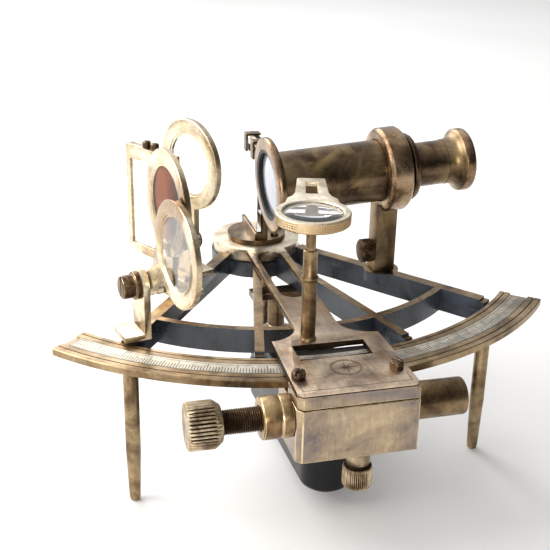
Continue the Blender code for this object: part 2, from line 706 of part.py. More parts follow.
def shade_ring(name, pin_z, pin_x, reach, lean, outer, inner, root_axis, look):
    """A ring on a knuckle that turns about the pin along x; lean is its angle from straight up."""
    hinge = empty(name + "_axis", (0.0, 0.0, pin_z), root_axis)
    hinge.rotation_euler = (lean, 0.0, 0.0)
    low, high = pin_x
    ring = rod(name, outer, low, high, 36, "X", (0.0, 0.0, reach))
    knuckle = rod("guide_knuckle_" + name, 0.0048, low, high, 20, "X")
    neck = box("guide_neck_" + name, (low, high), (-0.0036, 0.0036), (0.0, reach - outer + 0.003))
    hole = rod("cutter_glass_" + name, inner, -0.05, 0.05, ROUND, "X", (0.0, 0.0, reach))
    pin_hole = rod("cutter_pin_" + name, 0.0019, -0.05, 0.05, SMALL, "X")
    join(ring, knuckle, neck)
    cut(ring, hole, pin_hole)
    adopt(hinge, knuckle, neck, hole, pin_hole)
    finish(ring, "brass", hinge)
    middle = (low + high) / 2.0
    glass = rod(name + "_glass", inner - GAP, middle - 0.0009, middle + 0.0009, ROUND, "X",
                (0.0, 0.0, reach))
    finish(glass, look, hinge)


def shade_bracket(name, axis, half, pin_z, foot_x, thick):
    """An upright bracket with a round top and a foot that stands on an arm."""
    foot = RIB_TOP + GAP
    outline = [(-half, foot), (half, foot)]
    outline += arc_points((0.0, pin_z), half, 0.0, 180.0, 12)
    upright = prism(name, outline, -thick, thick, "X")
    base = box("guide_foot_" + name, foot_x, (-half, half), (foot, foot + 0.0022))
    hole = rod("cutter_" + name, 0.0019, -0.02, 0.02, SMALL, "X", (0.0, 0.0, pin_z))
    join(upright, base)
    cut(upright, hole)
    adopt(axis, base, hole)
    finish(upright, "brass", axis)


def make_shades(root):
    """Two horizon shades on one pin near the limb and an index shade nearer the pivot."""
    axis = empty("shade_axis", (*SHADE_PLACE, 0.0), root, SHADE_TURN)
    shade_bracket("shade_bracket", axis, 0.0065, SHADE_PIN_Z, (-0.0092, 0.0013), 0.0013)
    pin = turned("shade_screw", [(0.0, -0.0082), (0.0040, -0.0082), (0.0045, -0.0076),
                                 (0.0045, -0.0032), (0.0054, -0.0032), (0.0054, -0.0016),
                                 (0.0016, -0.0016), (0.0016, 0.0078), (0.0046, 0.0078),
                                 (0.0046, 0.0094), (0.0, 0.0094)], 20, "X",
                 (0.0, 0.0, SHADE_PIN_Z))
    finish(pin, "dark_brass", axis)
    shade_ring("horizon_shade_low", SHADE_PIN_Z, (0.0017, 0.0041), SHADE_REACH,
               math.radians(53.2), SHADE_OUTER, SHADE_INNER, axis, "smoke")
    shade_ring("horizon_shade_high", SHADE_PIN_Z, (0.0051, 0.0075), SHADE_REACH,
               math.radians(21.0), SHADE_OUTER, SHADE_INNER, axis, "amber")
    axis = empty("index_shade_axis", (*INDEX_SHADE_PLACE, 0.0), root, INDEX_SHADE_TURN)
    shade_bracket("index_shade_bracket", axis, 0.0055, INDEX_SHADE_PIN_Z, (-0.0040, 0.0105), 0.0012)
    pin = turned("index_shade_pin", [(0.0, -0.0046), (0.0036, -0.0046), (0.0036, -0.0016),
                                     (0.0016, -0.0016), (0.0016, 0.0046), (0.0036, 0.0046),
                                     (0.0036, 0.0062), (0.0, 0.0062)], 20, "X",
                 (0.0, 0.0, INDEX_SHADE_PIN_Z))
    finish(pin, "dark_brass", axis)
    shade_ring("index_shade", INDEX_SHADE_PIN_Z, (0.0015, 0.0043), 0.0340, 0.0, 0.0192,
               0.0128, axis, "clear")


# ---------------------------------------------------------------- telescope
def make_telescope(root, collar_turn):
    """Post with its collar, the tube, the objective, and the sliding eyepiece."""
    axis = empty("telescope_axis", SCOPE_CENTRE, root, 0.0, SCOPE_TILT)
    post_half = 0.0057
    post = box("telescope_post", (SCOPE_CENTRE[0] - post_half, SCOPE_CENTRE[0] + post_half),
               (SCOPE_CENTRE[1] - 0.0046, SCOPE_CENTRE[1] + 0.0046), (RIB_TOP + GAP, 0.0315))
    inner = TUBE_RADIUS + GAP
    band = turned("guide_collar", [(inner, -0.0056), (0.0166, -0.0056), (COLLAR_RADIUS, -0.0044),
                                   (COLLAR_RADIUS, 0.0034), (0.0166, 0.0048), (inner, 0.0048)],
                  36, "X")
    band.parent = axis
    thread = rod("cutter_post_screw", 0.0019, 0.0300, 0.0470, SMALL, "X",
                 (0.0, SCOPE_CENTRE[1], 0.0099))
    join(post, band)
    cut(post, thread)
    adopt(root, thread)
    finish(post, "dark_brass", root)
    screw = turned("post_screw", [(0.0, -0.0060), (0.0046, -0.0060), (0.0052, -0.0054),
                                  (0.0052, -0.0003), (0.0016, -0.0003), (0.0016, 0.0060),
                                  (0.0, 0.0060)], 20, "X")
    finish(screw, "dark_brass", collar_turn)

    sleeve = DRAW_RADIUS + GAP
    body = turned("telescope_tube", [(0.0122, -0.0510), (TUBE_RADIUS, -0.0510),
                                     (TUBE_RADIUS, 0.0062), (0.0142, 0.0064), (0.0146, 0.0072),
                                     (0.0140, 0.0088), (0.0116, 0.0100), (sleeve, 0.0100),
                                     (sleeve, 0.0040), (0.0122, 0.0040)], 40, "X")
    finish(body, "dark_brass", axis)
    ring = turned("objective_ring", [(0.0135, -0.0548), (0.0192, -0.0548), (0.0200, -0.0540),
                                     (0.0200, -0.0524), (0.0190, -0.0513), (0.0118, -0.0513),
                                     (0.0118, -0.0517), (0.0135, -0.0517)], 40, "X")
    finish(ring, "brass", axis)
    lens = turned("objective_lens", [(0.0, -0.0541), (0.0070, -0.0537), (0.0132, -0.0528),
                                     (0.0132, -0.0521), (0.0, -0.0521)], ROUND, "X")
    finish(lens, "clear", axis)
    draw = tube("draw_tube", DRAW_RADIUS, 0.0084, -0.0110, 0.0242, 36, "X")
    finish(draw, "brass", axis)
    cup = turned("eyecup", [(0.0090, 0.0245), (0.0098, 0.0245), (0.0104, 0.0266), (0.0128, 0.0284),
                            (0.0135, 0.0298), (0.0135, 0.0336), (0.0126, 0.0350), (0.0090, 0.0342)],
                 40, "X")
    finish(cup, "brass", axis)
    eye = turned("eye_lens", [(0.0, 0.0268), (0.0086, 0.0274), (0.0086, 0.0292), (0.0, 0.0298)],
                 24, "X")
    finish(eye, "clear", axis)


def make_sextant():
    """Put the whole instrument together on its joint axes."""
    clear_scene()
    root = empty("sextant", (PIVOT_X, PIVOT_Y, TOE))
    arm = empty("index_axis", (0.0, 0.0, 0.0), root, INDEX_ANGLE)
    shoe_axis = empty("shoe_axis", (0.0, TANGENT_Y, TANGENT_Z), arm)
    screw_axis = empty("tangent_axis", (0.0, 0.0, 0.0), shoe_axis)
    pad_axis = empty("pad_axis", (CLAMP_X, CLAMP_Y, -0.0077), arm)
    turn_axis = empty("clamp_axis", (0.0, 0.0, 0.0), pad_axis)
    slide_axis = empty("magnifier_slide_axis", (*LENS_POST, 0.0), arm)
    swing_axis = empty("magnifier_swing_axis", (0.0, 0.0, 0.0), slide_axis, LENS_TURN)
    collar_turn = empty("post_screw_axis", (SCOPE_CENTRE[0] - 0.0057, SCOPE_CENTRE[1], 0.0099), root)
    make_frame(root)
    make_limb(root)
    make_legs(root)
    make_handle(root)
    make_index_arm(arm)
    make_pivot(root, arm)
    make_vernier(arm)
    make_clamp_box(arm)
    make_tangent_gear(arm, shoe_axis, screw_axis)
    make_return_spring(arm)
    make_clamp_screw(pad_axis, turn_axis)
    make_magnifier(arm, slide_axis, swing_axis)
    make_index_mirror(arm)
    make_horizon_glass(root)
    make_shades(root)
    make_telescope(root, collar_turn)


make_sextant()
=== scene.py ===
"""Nautical sextant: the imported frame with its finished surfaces, on a pale floor."""
import json
import math

import bmesh
import bpy
from mathutils import Matrix, Vector


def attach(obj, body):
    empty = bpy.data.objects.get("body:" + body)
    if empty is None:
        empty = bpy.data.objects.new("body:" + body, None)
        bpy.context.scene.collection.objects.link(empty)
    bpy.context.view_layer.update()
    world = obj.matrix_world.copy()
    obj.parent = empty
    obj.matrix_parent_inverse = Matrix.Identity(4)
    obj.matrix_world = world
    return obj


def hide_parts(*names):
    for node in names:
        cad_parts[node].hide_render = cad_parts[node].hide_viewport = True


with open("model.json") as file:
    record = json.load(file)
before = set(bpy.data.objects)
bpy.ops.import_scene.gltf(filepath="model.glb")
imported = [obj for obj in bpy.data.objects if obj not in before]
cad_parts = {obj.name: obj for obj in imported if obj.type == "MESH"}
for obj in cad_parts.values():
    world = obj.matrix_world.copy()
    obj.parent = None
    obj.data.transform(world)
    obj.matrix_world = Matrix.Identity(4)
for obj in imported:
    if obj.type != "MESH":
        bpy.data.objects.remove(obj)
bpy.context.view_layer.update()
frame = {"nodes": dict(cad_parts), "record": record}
JOINTS = {joint["name"]: joint for joint in frame["record"]["behaviour"]["joints"]}

# ---------------- places: the pivot, the arm's line and the pins from the record, the rest given
TANGENT_Y = -0.141
TANGENT_Z = -0.0095
CLAMP_Y = -0.137
PIVOT = Vector(JOINTS["index_swing"]["pos_m"])
ROOT = Matrix.Translation(PIVOT)
ARM_AXIS = Vector(JOINTS["shoe_travel"]["axis"])
ARM = ROOT @ Matrix.Rotation(math.atan2(ARM_AXIS.y, ARM_AXIS.x), 4, "Z")


def hinge_frame(name):
    """The frame of a shade's pin: x along the pin, z up."""
    axis = Vector(JOINTS[name]["axis"])
    turn = Matrix.Rotation(math.atan2(axis.y, axis.x), 4, "Z")
    return Matrix.Translation(JOINTS[name]["pos_m"]) @ turn


SHADE_PIN = hinge_frame("horizon_shade_low_swing")
INDEX_PIN = hinge_frame("index_shade_swing")
HORIZON = ROOT @ Matrix.Translation((-0.0508, -0.045, 0.0)) @ Matrix.Rotation(math.radians(30.0), 4, "Z")
SCOPE = ROOT @ Matrix.Translation((0.0461, -0.045, 0.0469)) @ Matrix.Rotation(math.radians(-3.5), 4, "Y")
TANGENT = ARM @ Matrix.Translation((0.0, TANGENT_Y, TANGENT_Z))
CLAMP = ARM @ Matrix.Translation((0.0064, CLAMP_Y, -0.0077))
LENS_ROD = ARM @ Matrix.Translation((-0.0065, -0.1098, 0.0))
LENS = LENS_ROD @ Matrix.Rotation(math.radians(-15.0), 4, "Z")

# ---------------- sizes shared by several pieces
RIB_TOP = 0.0009
RIB_BOTTOM = -0.0092
LIMB_INNER = 0.1172
LIMB_OUTER = 0.135
LIMB_THICK = 0.0028
LIMB_LEFT = math.radians(-50.2)
LIMB_RIGHT = math.radians(47.3)
SCALE_INNER = 0.1219
SCALE_OUTER = 0.1295
INDEX_BOTTOM = 0.0014
INDEX_TOP = 0.0036
SEAM_TOP = INDEX_TOP - 0.0008
SEAM_LOW = SEAM_TOP - 0.0004
WINDOW_HALF = 0.014
WINDOW_FAR = -0.1143
WINDOW_NEAR = -0.1262
HUB_DISC = 0.02
HUB_SEAT = -0.0022
PLATE_FRONT = -0.151
PLATE_RIGHT = 0.0231
LEG_X = 0.0751
LEG_Y = -0.0895
SCOPE_Y = -0.045
BOX_LEFT = -0.0215
BOX_RIGHT = 0.0239
BOX_TOP = -0.0035
BOX_BOTTOM = -0.0245
BOX_BACK = -0.1243
BOX_FRONT = -0.1503
GAP = 0.0003
FINE = 96                    # sides of a large round piece
SMALL = 40                   # sides of a small one
KNURLS = 45                  # diamonds round half of the magnifier's rim
KNURL_DEPTH = 0.00018


# ---------------- materials
def graph(name):
    """A new material, its node tree's helpers and its Principled shader."""
    material = bpy.data.materials.new(name)
    material.use_nodes = True
    tree = material.node_tree
    shader = tree.nodes["Principled BSDF"]
    place = tree.nodes.new("ShaderNodeTexCoord")
    return material, tree, shader, place.outputs["Object"]


def noise(tree, place, scale, detail=6.0, rough=0.6, warp=0.0, stretch=None, shift=(0, 0, 0)):
    """Noise on object coordinates; stretch and shift go through a Mapping node."""
    source = place
    if stretch or any(shift):
        mapping = tree.nodes.new("ShaderNodeMapping")
        mapping.inputs["Scale"].default_value = stretch or (1, 1, 1)
        mapping.inputs["Location"].default_value = shift
        tree.links.new(place, mapping.inputs["Vector"])
        source = mapping.outputs["Vector"]
    node = tree.nodes.new("ShaderNodeTexNoise")
    node.inputs["Scale"].default_value = scale
    node.inputs["Detail"].default_value = detail
    node.inputs["Roughness"].default_value = rough
    node.inputs["Distortion"].default_value = warp
    tree.links.new(source, node.inputs["Vector"])
    return node.outputs["Fac"]


def ramp(tree, source, stops):
    """A colour ramp with (position, colour) stops."""
    node = tree.nodes.new("ShaderNodeValToRGB")
    elements = node.color_ramp.elements
    while len(elements) < len(stops):
        elements.new(0.5)
    for element, (position, colour) in zip(elements, stops):
        element.position = position
        element.color = (*colour, 1.0)
    tree.links.new(source, node.inputs["Fac"])
    return node.outputs["Color"]


def spread(tree, source, low, high, start=0.3, end=0.7):
    """Map a noise's useful range onto low..high."""
    node = tree.nodes.new("ShaderNodeMapRange")
    node.inputs["From Min"].default_value = start
    node.inputs["From Max"].default_value = end
    node.inputs["To Min"].default_value = low
    node.inputs["To Max"].default_value = high
    tree.links.new(source, node.inputs["Value"])
    return node.outputs["Result"]


def blend(tree, first, second, factor, mode="MIX"):
    """Mix two colours; each may be a socket or a plain colour."""
    node = tree.nodes.new("ShaderNodeMix")
    node.data_type = "RGBA"
    node.blend_type = mode
    sockets = [s for s in node.inputs if s.type == "RGBA"]
    for socket, value in zip(sockets, (first, second)):
        if isinstance(value, tuple):
            socket.default_value = (*value, 1.0)
        else:
            tree.links.new(value, socket)
    if isinstance(factor, float):
        node.inputs["Factor"].default_value = factor
    else:
        tree.links.new(factor, node.inputs["Factor"])
    return [s for s in node.outputs if s.type == "RGBA"][0]


def add(tree, first, second, weight):
    """first + weight * second."""
    node = tree.nodes.new("ShaderNodeMath")
    node.operation = "MULTIPLY_ADD"
    tree.links.new(second, node.inputs[0])
    node.inputs[1].default_value = weight
    tree.links.new(first, node.inputs[2])
    return node.outputs[0]


def bump(tree, shader, height, strength, distance=0.0002):
    """A bump on the shader's normal."""
    node = tree.nodes.new("ShaderNodeBump")
    node.inputs["Strength"].default_value = strength
    node.inputs["Distance"].default_value = distance
    tree.links.new(height, node.inputs["Height"])
    tree.links.new(node.outputs["Normal"], shader.inputs["Normal"])


def patina(tree, source, tones):
    """Three tones of patina over a broad noise."""
    return ramp(tree, source, [(0.34, tones[0]), (0.48, tones[1]), (0.64, tones[2])])


def metal(name, tones, rough, stain=None, size=60.0, brush=(900.0, 900.0, 60.0), relief=0.25, seed=0.0,
          fades=()):
    """Aged metal: patina in three tones, fine mottling, brushed scratches and a few stains.

    Each fade is (near y, far y, tones): the colour turns into those tones between the two, painting light and
    shade along one part.
    """
    material, tree, shader, place = graph(name)
    shift = (seed, seed * 0.7, -seed)
    broad = noise(tree, place, size, 7.0, 0.62, 0.5, shift=shift)
    colour = patina(tree, broad, tones)
    for start, end, others in fades:
        split = tree.nodes.new("ShaderNodeSeparateXYZ")
        tree.links.new(place, split.inputs["Vector"])
        other = patina(tree, broad, others)
        ragged = add(tree, split.outputs["Y"], broad, 0.02)
        colour = blend(tree, colour, other, spread(tree, ragged, 0.0, 1.0, start + 0.01, end + 0.01))
    fine = noise(tree, place, size * 9.0, 5.0, 0.7, shift=shift)
    mottle = ramp(tree, fine, [(0.3, (0.62, 0.58, 0.54)), (0.62, (1.0, 1.0, 1.0))])
    colour = blend(tree, colour, mottle, 0.55, "MULTIPLY")
    scratch = noise(tree, place, 1.0, 3.0, 0.65, stretch=brush, shift=shift)
    streak = ramp(tree, scratch, [(0.38, (0.7, 0.67, 0.64)), (0.6, (1.0, 1.0, 1.0))])
    colour = blend(tree, colour, streak, 0.45, "MULTIPLY")
    if stain:
        spots = noise(tree, place, size * 0.8, 4.0, 0.55, 0.8, shift=(seed + 3.1, 1.7, seed))
        colour = blend(tree, colour, stain, spread(tree, spots, 0.0, 0.85, 0.52, 0.68))
    tree.links.new(colour, shader.inputs["Base Color"])
    tree.links.new(spread(tree, add(tree, broad, fine, 0.5), rough[0], rough[1], 0.5, 0.95),
                   shader.inputs["Roughness"])
    shader.inputs["Metallic"].default_value = 0.95
    bump(tree, shader, add(tree, scratch, fine, 0.6), relief)
    return material


def coating(name, low, high, rough, size=300.0, relief=0.3, coat=0.0, gloss=0.5):
    """Paint or plastic with slight colour variation and an orange-peel bump."""
    material, tree, shader, place = graph(name)
    cloud = noise(tree, place, size * 0.2, 5.0, 0.6, 0.3)
    tree.links.new(ramp(tree, cloud, [(0.35, low), (0.65, high)]), shader.inputs["Base Color"])
    grain = noise(tree, place, size * 4.0, 3.0, 0.6)
    tree.links.new(spread(tree, cloud, rough[0], rough[1]), shader.inputs["Roughness"])
    shader.inputs["Specular IOR Level"].default_value = gloss
    shader.inputs["Coat Weight"].default_value = coat
    shader.inputs["Coat Roughness"].default_value = 0.15
    bump(tree, shader, grain, relief, 0.0001)
    return material


def glass(name, tint, smudge=0.04, index=1.45):
    """Clear or coloured glass with faint smudges."""
    material, tree, shader, place = graph(name)
    cloud = noise(tree, place, 120.0, 4.0, 0.6, 0.6)
    dim = tuple(channel * 0.92 for channel in tint)
    tree.links.new(ramp(tree, cloud, [(0.35, dim), (0.65, tint)]), shader.inputs["Base Color"])
    tree.links.new(spread(tree, cloud, 0.0, smudge), shader.inputs["Roughness"])
    shader.inputs["Transmission Weight"].default_value = 1.0
    shader.inputs["IOR"].default_value = index
    return material


def silvering(name, tint, rough):
    """Mirror with faint clouding."""
    material, tree, shader, place = graph(name)
    cloud = noise(tree, place, 90.0, 5.0, 0.6, 0.5)
    dim = tuple(channel * 0.9 for channel in tint)
    tree.links.new(ramp(tree, cloud, [(0.35, dim), (0.6, tint)]), shader.inputs["Base Color"])
    tree.links.new(spread(tree, cloud, rough * 0.5, rough), shader.inputs["Roughness"])
    shader.inputs["Metallic"].default_value = 1.0
    return material


GOLD = ((0.22, 0.13, 0.055), (0.46, 0.31, 0.15), (0.7, 0.53, 0.3))
DULL = ((0.09, 0.054, 0.028), (0.23, 0.155, 0.08), (0.42, 0.3, 0.165))
# pale brass tones that paint light: the hub's reflection and the magnifier's lit top and tab
LIT_CREAM = ((0.56, 0.47, 0.34), (0.8, 0.71, 0.55), (0.94, 0.87, 0.71))
BROWN = ((0.055, 0.034, 0.021), (0.15, 0.1, 0.058), (0.33, 0.235, 0.13))
LOOK = {
    "brass": metal("brass_aged", GOLD, (0.22, 0.42), (0.1, 0.055, 0.03)),
    # brass_plate: end plate tones, fading to darker tones along the arm's strip (painted shade) and to pale
    # tones over the hub (painted reflection)
    "plate": metal("brass_plate", ((0.32, 0.25, 0.2), (0.58, 0.46, 0.35), (0.8, 0.65, 0.48)), (0.28,
                   0.46), (0.36, 0.2, 0.09), 75.0, (1500.0, 120.0, 900.0), 0.3, 2.0, ((-0.04, -0.01,
                   DULL), (0.036, 0.048, LIT_CREAM))),
    "box": metal("brass_box", ((0.22, 0.185, 0.17), (0.43, 0.335, 0.235), (0.62, 0.49, 0.32)), (0.24,
                 0.42), (0.22, 0.19, 0.2), 50.0, (1600.0, 900.0, 110.0), 0.35, 5.0),
    # brass_cream_painted_light: a lit pale copy of the brass, painted light
    "cream": metal("brass_cream_painted_light", LIT_CREAM, (0.3, 0.46), (0.4, 0.29, 0.18), 80.0, (1200.0, 200.0, 900.0),
                   0.3, 3.0),
    "arm": metal("brass_arm", DULL, (0.24, 0.42), (0.06, 0.035, 0.02), 70.0, (900.0, 70.0, 900.0), 0.25,
                 7.0),
    "limb": metal("brass_limb", ((0.17, 0.11, 0.06), (0.36, 0.26, 0.145), (0.56, 0.43, 0.26)), (0.26,
                  0.44), (0.08, 0.045, 0.025), 60.0, (900.0, 900.0, 900.0), 0.25, 8.0),
    "edge": metal("brass_worn_edge", ((0.5, 0.36, 0.19), (0.72, 0.56, 0.33), (0.9, 0.74, 0.48)), (0.18,
                  0.32), None, 120.0),
    # brass_pale_painted_light: a lit pale copy of the brass, painted light on the horizon frame, the shades
    # and their brackets
    "pale": metal("brass_pale_painted_light", ((0.56, 0.42, 0.23), (0.82, 0.68, 0.46), (0.95, 0.86, 0.66)), (0.16,
                  0.34), (0.24, 0.14, 0.07), 45.0, (700.0, 700.0, 700.0), 0.15, 11.0),
    "knob": metal("brass_knob", ((0.3, 0.21, 0.12), (0.58, 0.46, 0.3), (0.86, 0.73, 0.53)), (0.24, 0.4),
                  (0.1, 0.055, 0.03), 110.0, (300.0, 1200.0, 1200.0), 0.2, 9.0),
    # near-black brass: dirt and painted shade in grooves, knurls and thread roots, and the engraved lines
    "groove": metal("brass_dark_dirt_and_shade", ((0.016, 0.01, 0.006), (0.045, 0.028, 0.016), (0.1, 0.065, 0.036)),
                    (0.5, 0.7)),
    "bronze": metal("bronze_dark", BROWN, (0.22, 0.4), (0.34, 0.24, 0.1), 55.0, (60.0, 900.0, 900.0),
                    0.25, 4.0),
    "copper": metal("bronze_copper", ((0.12, 0.072, 0.042), (0.32, 0.208, 0.12), (0.62, 0.44, 0.28)),
                    (0.18, 0.34), (0.06, 0.03, 0.018), 60.0, (60.0, 900.0, 900.0), 0.2, 6.0),
    "screw": metal("screw_dark", ((0.026, 0.016, 0.01), (0.08, 0.048, 0.028), (0.26, 0.165, 0.09)),
                   (0.28, 0.45), None, 300.0),
    "steel": metal("steel_worn", ((0.22, 0.21, 0.2), (0.42, 0.41, 0.4), (0.6, 0.59, 0.57)), (0.25, 0.42),
                   None, 150.0),
    "silver": metal("silvered_scale", ((0.44, 0.41, 0.34), (0.66, 0.62, 0.53), (0.82, 0.78, 0.68)), (0.4,
                    0.55), (0.25, 0.21, 0.15), 45.0, (500.0, 500.0, 500.0), 0.15, 1.0),
    "paint": coating("paint_blue_black", (0.008, 0.01, 0.014), (0.06, 0.072, 0.09), (0.22, 0.42), 260.0),
    "grip": coating("grip_black", (0.003, 0.003, 0.0035), (0.008, 0.008, 0.009), (0.22, 0.36), 120.0,
                    0.1, 0.0, 0.25),
    # blackened: real blackening inside the objective's cell, painted shade on the vernier plate
    "black": coating("blackened_and_painted_shade", (0.008, 0.007, 0.006), (0.024, 0.02, 0.016), (0.45, 0.65)),
    "tick": coating("tick_ink", (0.01, 0.009, 0.008), (0.03, 0.026, 0.022), (0.5, 0.7)),
    "clear": glass("glass_clear", (0.96, 0.97, 0.97)),
    "smoke": glass("glass_smoke", (0.72, 0.69, 0.65)),
    "amber": glass("glass_amber", (0.22, 0.056, 0.014), 0.06, 1.15),
    # the lenses are opaque pale blue-grey: a painted reflection of the bright surroundings in place of clear
    # glass
    "painted_lens_reflection": coating("lens_pale_painted_reflection", (0.4, 0.43, 0.5), (0.52, 0.55, 0.62), (0.12, 0.25), 60.0, 0.02,
                      0.6),
    "mirror": silvering("mirror_silver", (0.9, 0.91, 0.91), 0.05),
    "magnifier_rim": metal("brass_rim", ((0.4, 0.24, 0.09), (0.66, 0.44, 0.2), (0.84, 0.62, 0.34)),
                           (0.22, 0.38), (0.16, 0.08, 0.03), 140.0),
}


# ---------------- mesh helpers
def object_from(shape):
    """A bmesh as a linked object with its faces pointing out."""
    bmesh.ops.recalc_face_normals(shape, faces=shape.faces)
    mesh = bpy.data.meshes.new("shape")
    shape.to_mesh(mesh)
    shape.free()
    thing = bpy.data.objects.new("shape", mesh)
    bpy.context.collection.objects.link(thing)
    return thing


def prism(outline, low, high, axis="Z"):
    """An outline drawn across the axis, extruded from low to high along it."""
    shape = bmesh.new()
    upright = axis == "Z"
    corners = [(a, b, low) if upright else (low, a, b) for a, b in outline]
    base = shape.faces.new([shape.verts.new(corner) for corner in corners])
    grown = bmesh.ops.extrude_face_region(shape, geom=[base])
    lifted = [part for part in grown["geom"] if isinstance(part, bmesh.types.BMVert)]
    step = Vector((0, 0, 1) if upright else (1, 0, 0))
    bmesh.ops.translate(shape, verts=lifted, vec=step * (high - low))
    return object_from(shape)


def box(x, y, z):
    """A rectangular block from three (low, high) pairs."""
    return prism([(x[0], y[0]), (x[1], y[0]), (x[1], y[1]), (x[0], y[1])], z[0], z[1])


def turned(profile, sides=FINE, axis="Z", at=(0.0, 0.0, 0.0), ripple=None):
    """Turn a (radius, height) profile; ripple(index, height, angle) adds to the radius."""
    shape = bmesh.new()
    hollow = min(radius for radius, _ in profile) > 0.0
    rings = []
    for place, (radius, height) in enumerate(profile):
        count = sides if radius > 0.0 else 1
        ring = []
        for index in range(count):
            angle = 2.0 * math.pi * index / count
            reach = radius + (ripple(place, height, angle) if ripple and radius > 0.0 else 0.0)
            a = reach * math.cos(angle)
            b = reach * math.sin(angle)
            spot = (a, b, height) if axis == "Z" else (height, a, b)
            ring.append(shape.verts.new(Vector(spot) + Vector(at)))
        rings.append(ring)
    pairs = list(zip(rings, rings[1:]))
    if hollow:
        pairs.append((rings[-1], rings[0]))
    for lower, upper in pairs:
        for index in range(sides):
            after = (index + 1) % sides
            corners = [lower[index % len(lower)], lower[after % len(lower)],
                       upper[after % len(upper)], upper[index % len(upper)]]
            unique = list(dict.fromkeys(corners))
            if len(unique) > 2:
                shape.faces.new(unique)
    return object_from(shape)


def rod(radius, low, high, sides=FINE, axis="Z", at=(0.0, 0.0, 0.0)):
    """A plain cylinder."""
    return turned([(0.0, low), (radius, low), (radius, high), (0.0, high)], sides, axis, at)


def tube(outer, inner, low, high, sides=FINE, axis="Z", at=(0.0, 0.0, 0.0)):
    """A plain tube."""
    return turned([(inner, low), (outer, low), (outer, high), (inner, high)], sides, axis, at)


def add_sweep(shape, profile, start, end, steps):
    """Sweep a closed (radius, height) profile about the pivot, angles measured from -y."""
    rings = []
    for step in range(steps + 1):
        angle = start + (end - start) * step / steps
        rings.append([shape.verts.new((r * math.sin(angle), -r * math.cos(angle), h))
                      for r, h in profile])
    for near, far in zip(rings, rings[1:]):
        for index in range(len(profile)):
            after = (index + 1) % len(profile)
            shape.faces.new((near[index], near[after], far[after], far[index]))
    shape.faces.new(rings[0])
    shape.faces.new(rings[-1])


def arc_bar(profile, start, end, steps):
    """A swept bar as its own object."""
    shape = bmesh.new()
    add_sweep(shape, profile, start, end, steps)
    return object_from(shape)


def add_plate(shape, corners, low, high):
    """A thin flat prism on the given corners."""
    lower = [shape.verts.new((x, y, low)) for x, y in corners]
    upper = [shape.verts.new((x, y, high)) for x, y in corners]
    shape.faces.new(lower)
    shape.faces.new(upper)
    for index in range(len(corners)):
        after = (index + 1) % len(corners)
        shape.faces.new((lower[index], lower[after], upper[after], upper[index]))


def arc_points(centre, radius, start, end, steps):
    """Points on an arc, angles in degrees from +x."""
    angles = [math.radians(start + (end - start) * step / steps) for step in range(steps + 1)]
    return [(centre[0] + radius * math.cos(a), centre[1] + radius * math.sin(a)) for a in angles]


def polar(radius, angle):
    """A point in plan at an angle from -y."""
    return (radius * math.sin(angle), -radius * math.cos(angle))


def bar_between(start, end, width, low, high):
    """A straight bar of the given width between two points in plan."""
    along = (Vector(end) - Vector(start)).normalized()
    side = Vector((-along.y, along.x)) * width / 2.0
    corners = [Vector(start) - side, Vector(end) - side, Vector(end) + side, Vector(start) + side]
    return prism([tuple(point) for point in corners], low, high)


def settle(thing):
    """Apply an object's modifiers."""
    graph_now = bpy.context.evaluated_depsgraph_get()
    mesh = bpy.data.meshes.new_from_object(thing.evaluated_get(graph_now))
    old = thing.data
    thing.modifiers.clear()
    thing.data = mesh
    bpy.data.meshes.remove(old)
    return thing


def carve(target, others, operation="DIFFERENCE"):
    """Boolean the target with each of the others, which are then removed."""
    for other in others:
        modifier = target.modifiers.new("cut", "BOOLEAN")
        modifier.operation = operation
        modifier.solver = "EXACT"
        modifier.object = other
    settle(target)
    for other in others:
        bpy.data.objects.remove(other, do_unlink=True)
    return target


def fuse(target, *others):
    """Union."""
    return carve(target, others, "UNION")


def piece(name, thing, place, looks, body, nodes=(), bevel=0.0, segments=2, limit=32.0, choose=None,
          smooth=38.0):
    """Finish a shape: bevelled worn edges, materials, its place, its body and the nodes it replaces.

    looks holds one or more names from LOOK; if the second is "edge", the bevels wear it.
    choose(centre, normal) gives each face the index of one of them, in the shape's own frame.
    """
    names = looks.split()
    mesh = thing.data
    mesh.materials.clear()
    for look in names:
        mesh.materials.append(LOOK[look])
    if choose:
        for face in mesh.polygons:
            face.material_index = choose(face.center, face.normal)
    if bevel > 0.0:
        modifier = thing.modifiers.new("bevel", "BEVEL")
        modifier.width = bevel
        modifier.segments = segments
        modifier.limit_method = "ANGLE"
        modifier.angle_limit = math.radians(limit)
        modifier.material = 1 if names[1:2] == ["edge"] else -1
        settle(thing)
        mesh = thing.data
    mesh.transform(place)
    mesh.shade_smooth()
    mesh.set_sharp_from_angle(angle=math.radians(smooth))
    thing.name = name
    mesh.name = name
    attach(thing, body)
    if nodes:
        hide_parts(*nodes)


def knurl(count, depth, rows):
    """Straight ridges on the profile points listed in rows."""
    def ripple(place, height, angle):
        if place not in rows:
            return 0.0
        return -depth * (0.5 - 0.5 * math.cos(count * angle)) ** 1.5
    return ripple


def slotted(name, head, height, place, body, node):
    """A cheese-head screw with a domed, slotted top, its head seated at z = 0."""
    profile = [(0.0, 0.0), (head, 0.0), (head, height * 0.8), (head * 0.9, height * 0.95),
               (head * 0.5, height * 1.02), (0.0, height * 1.04)]
    screw = turned(profile, 48)
    slot = box((-head * 0.14, head * 0.14), (-2.0 * head, 2.0 * head), (height * 0.55, height * 2.0))
    carve(screw, [slot])
    piece(name, screw, place, "screw edge", body, [node], head * 0.06, 1)


def keep(node, look):
    """A CAD node that stays, with its finished material."""
    thing = frame["nodes"][node]
    thing.data.materials.clear()
    thing.data.materials.append(LOOK[look])


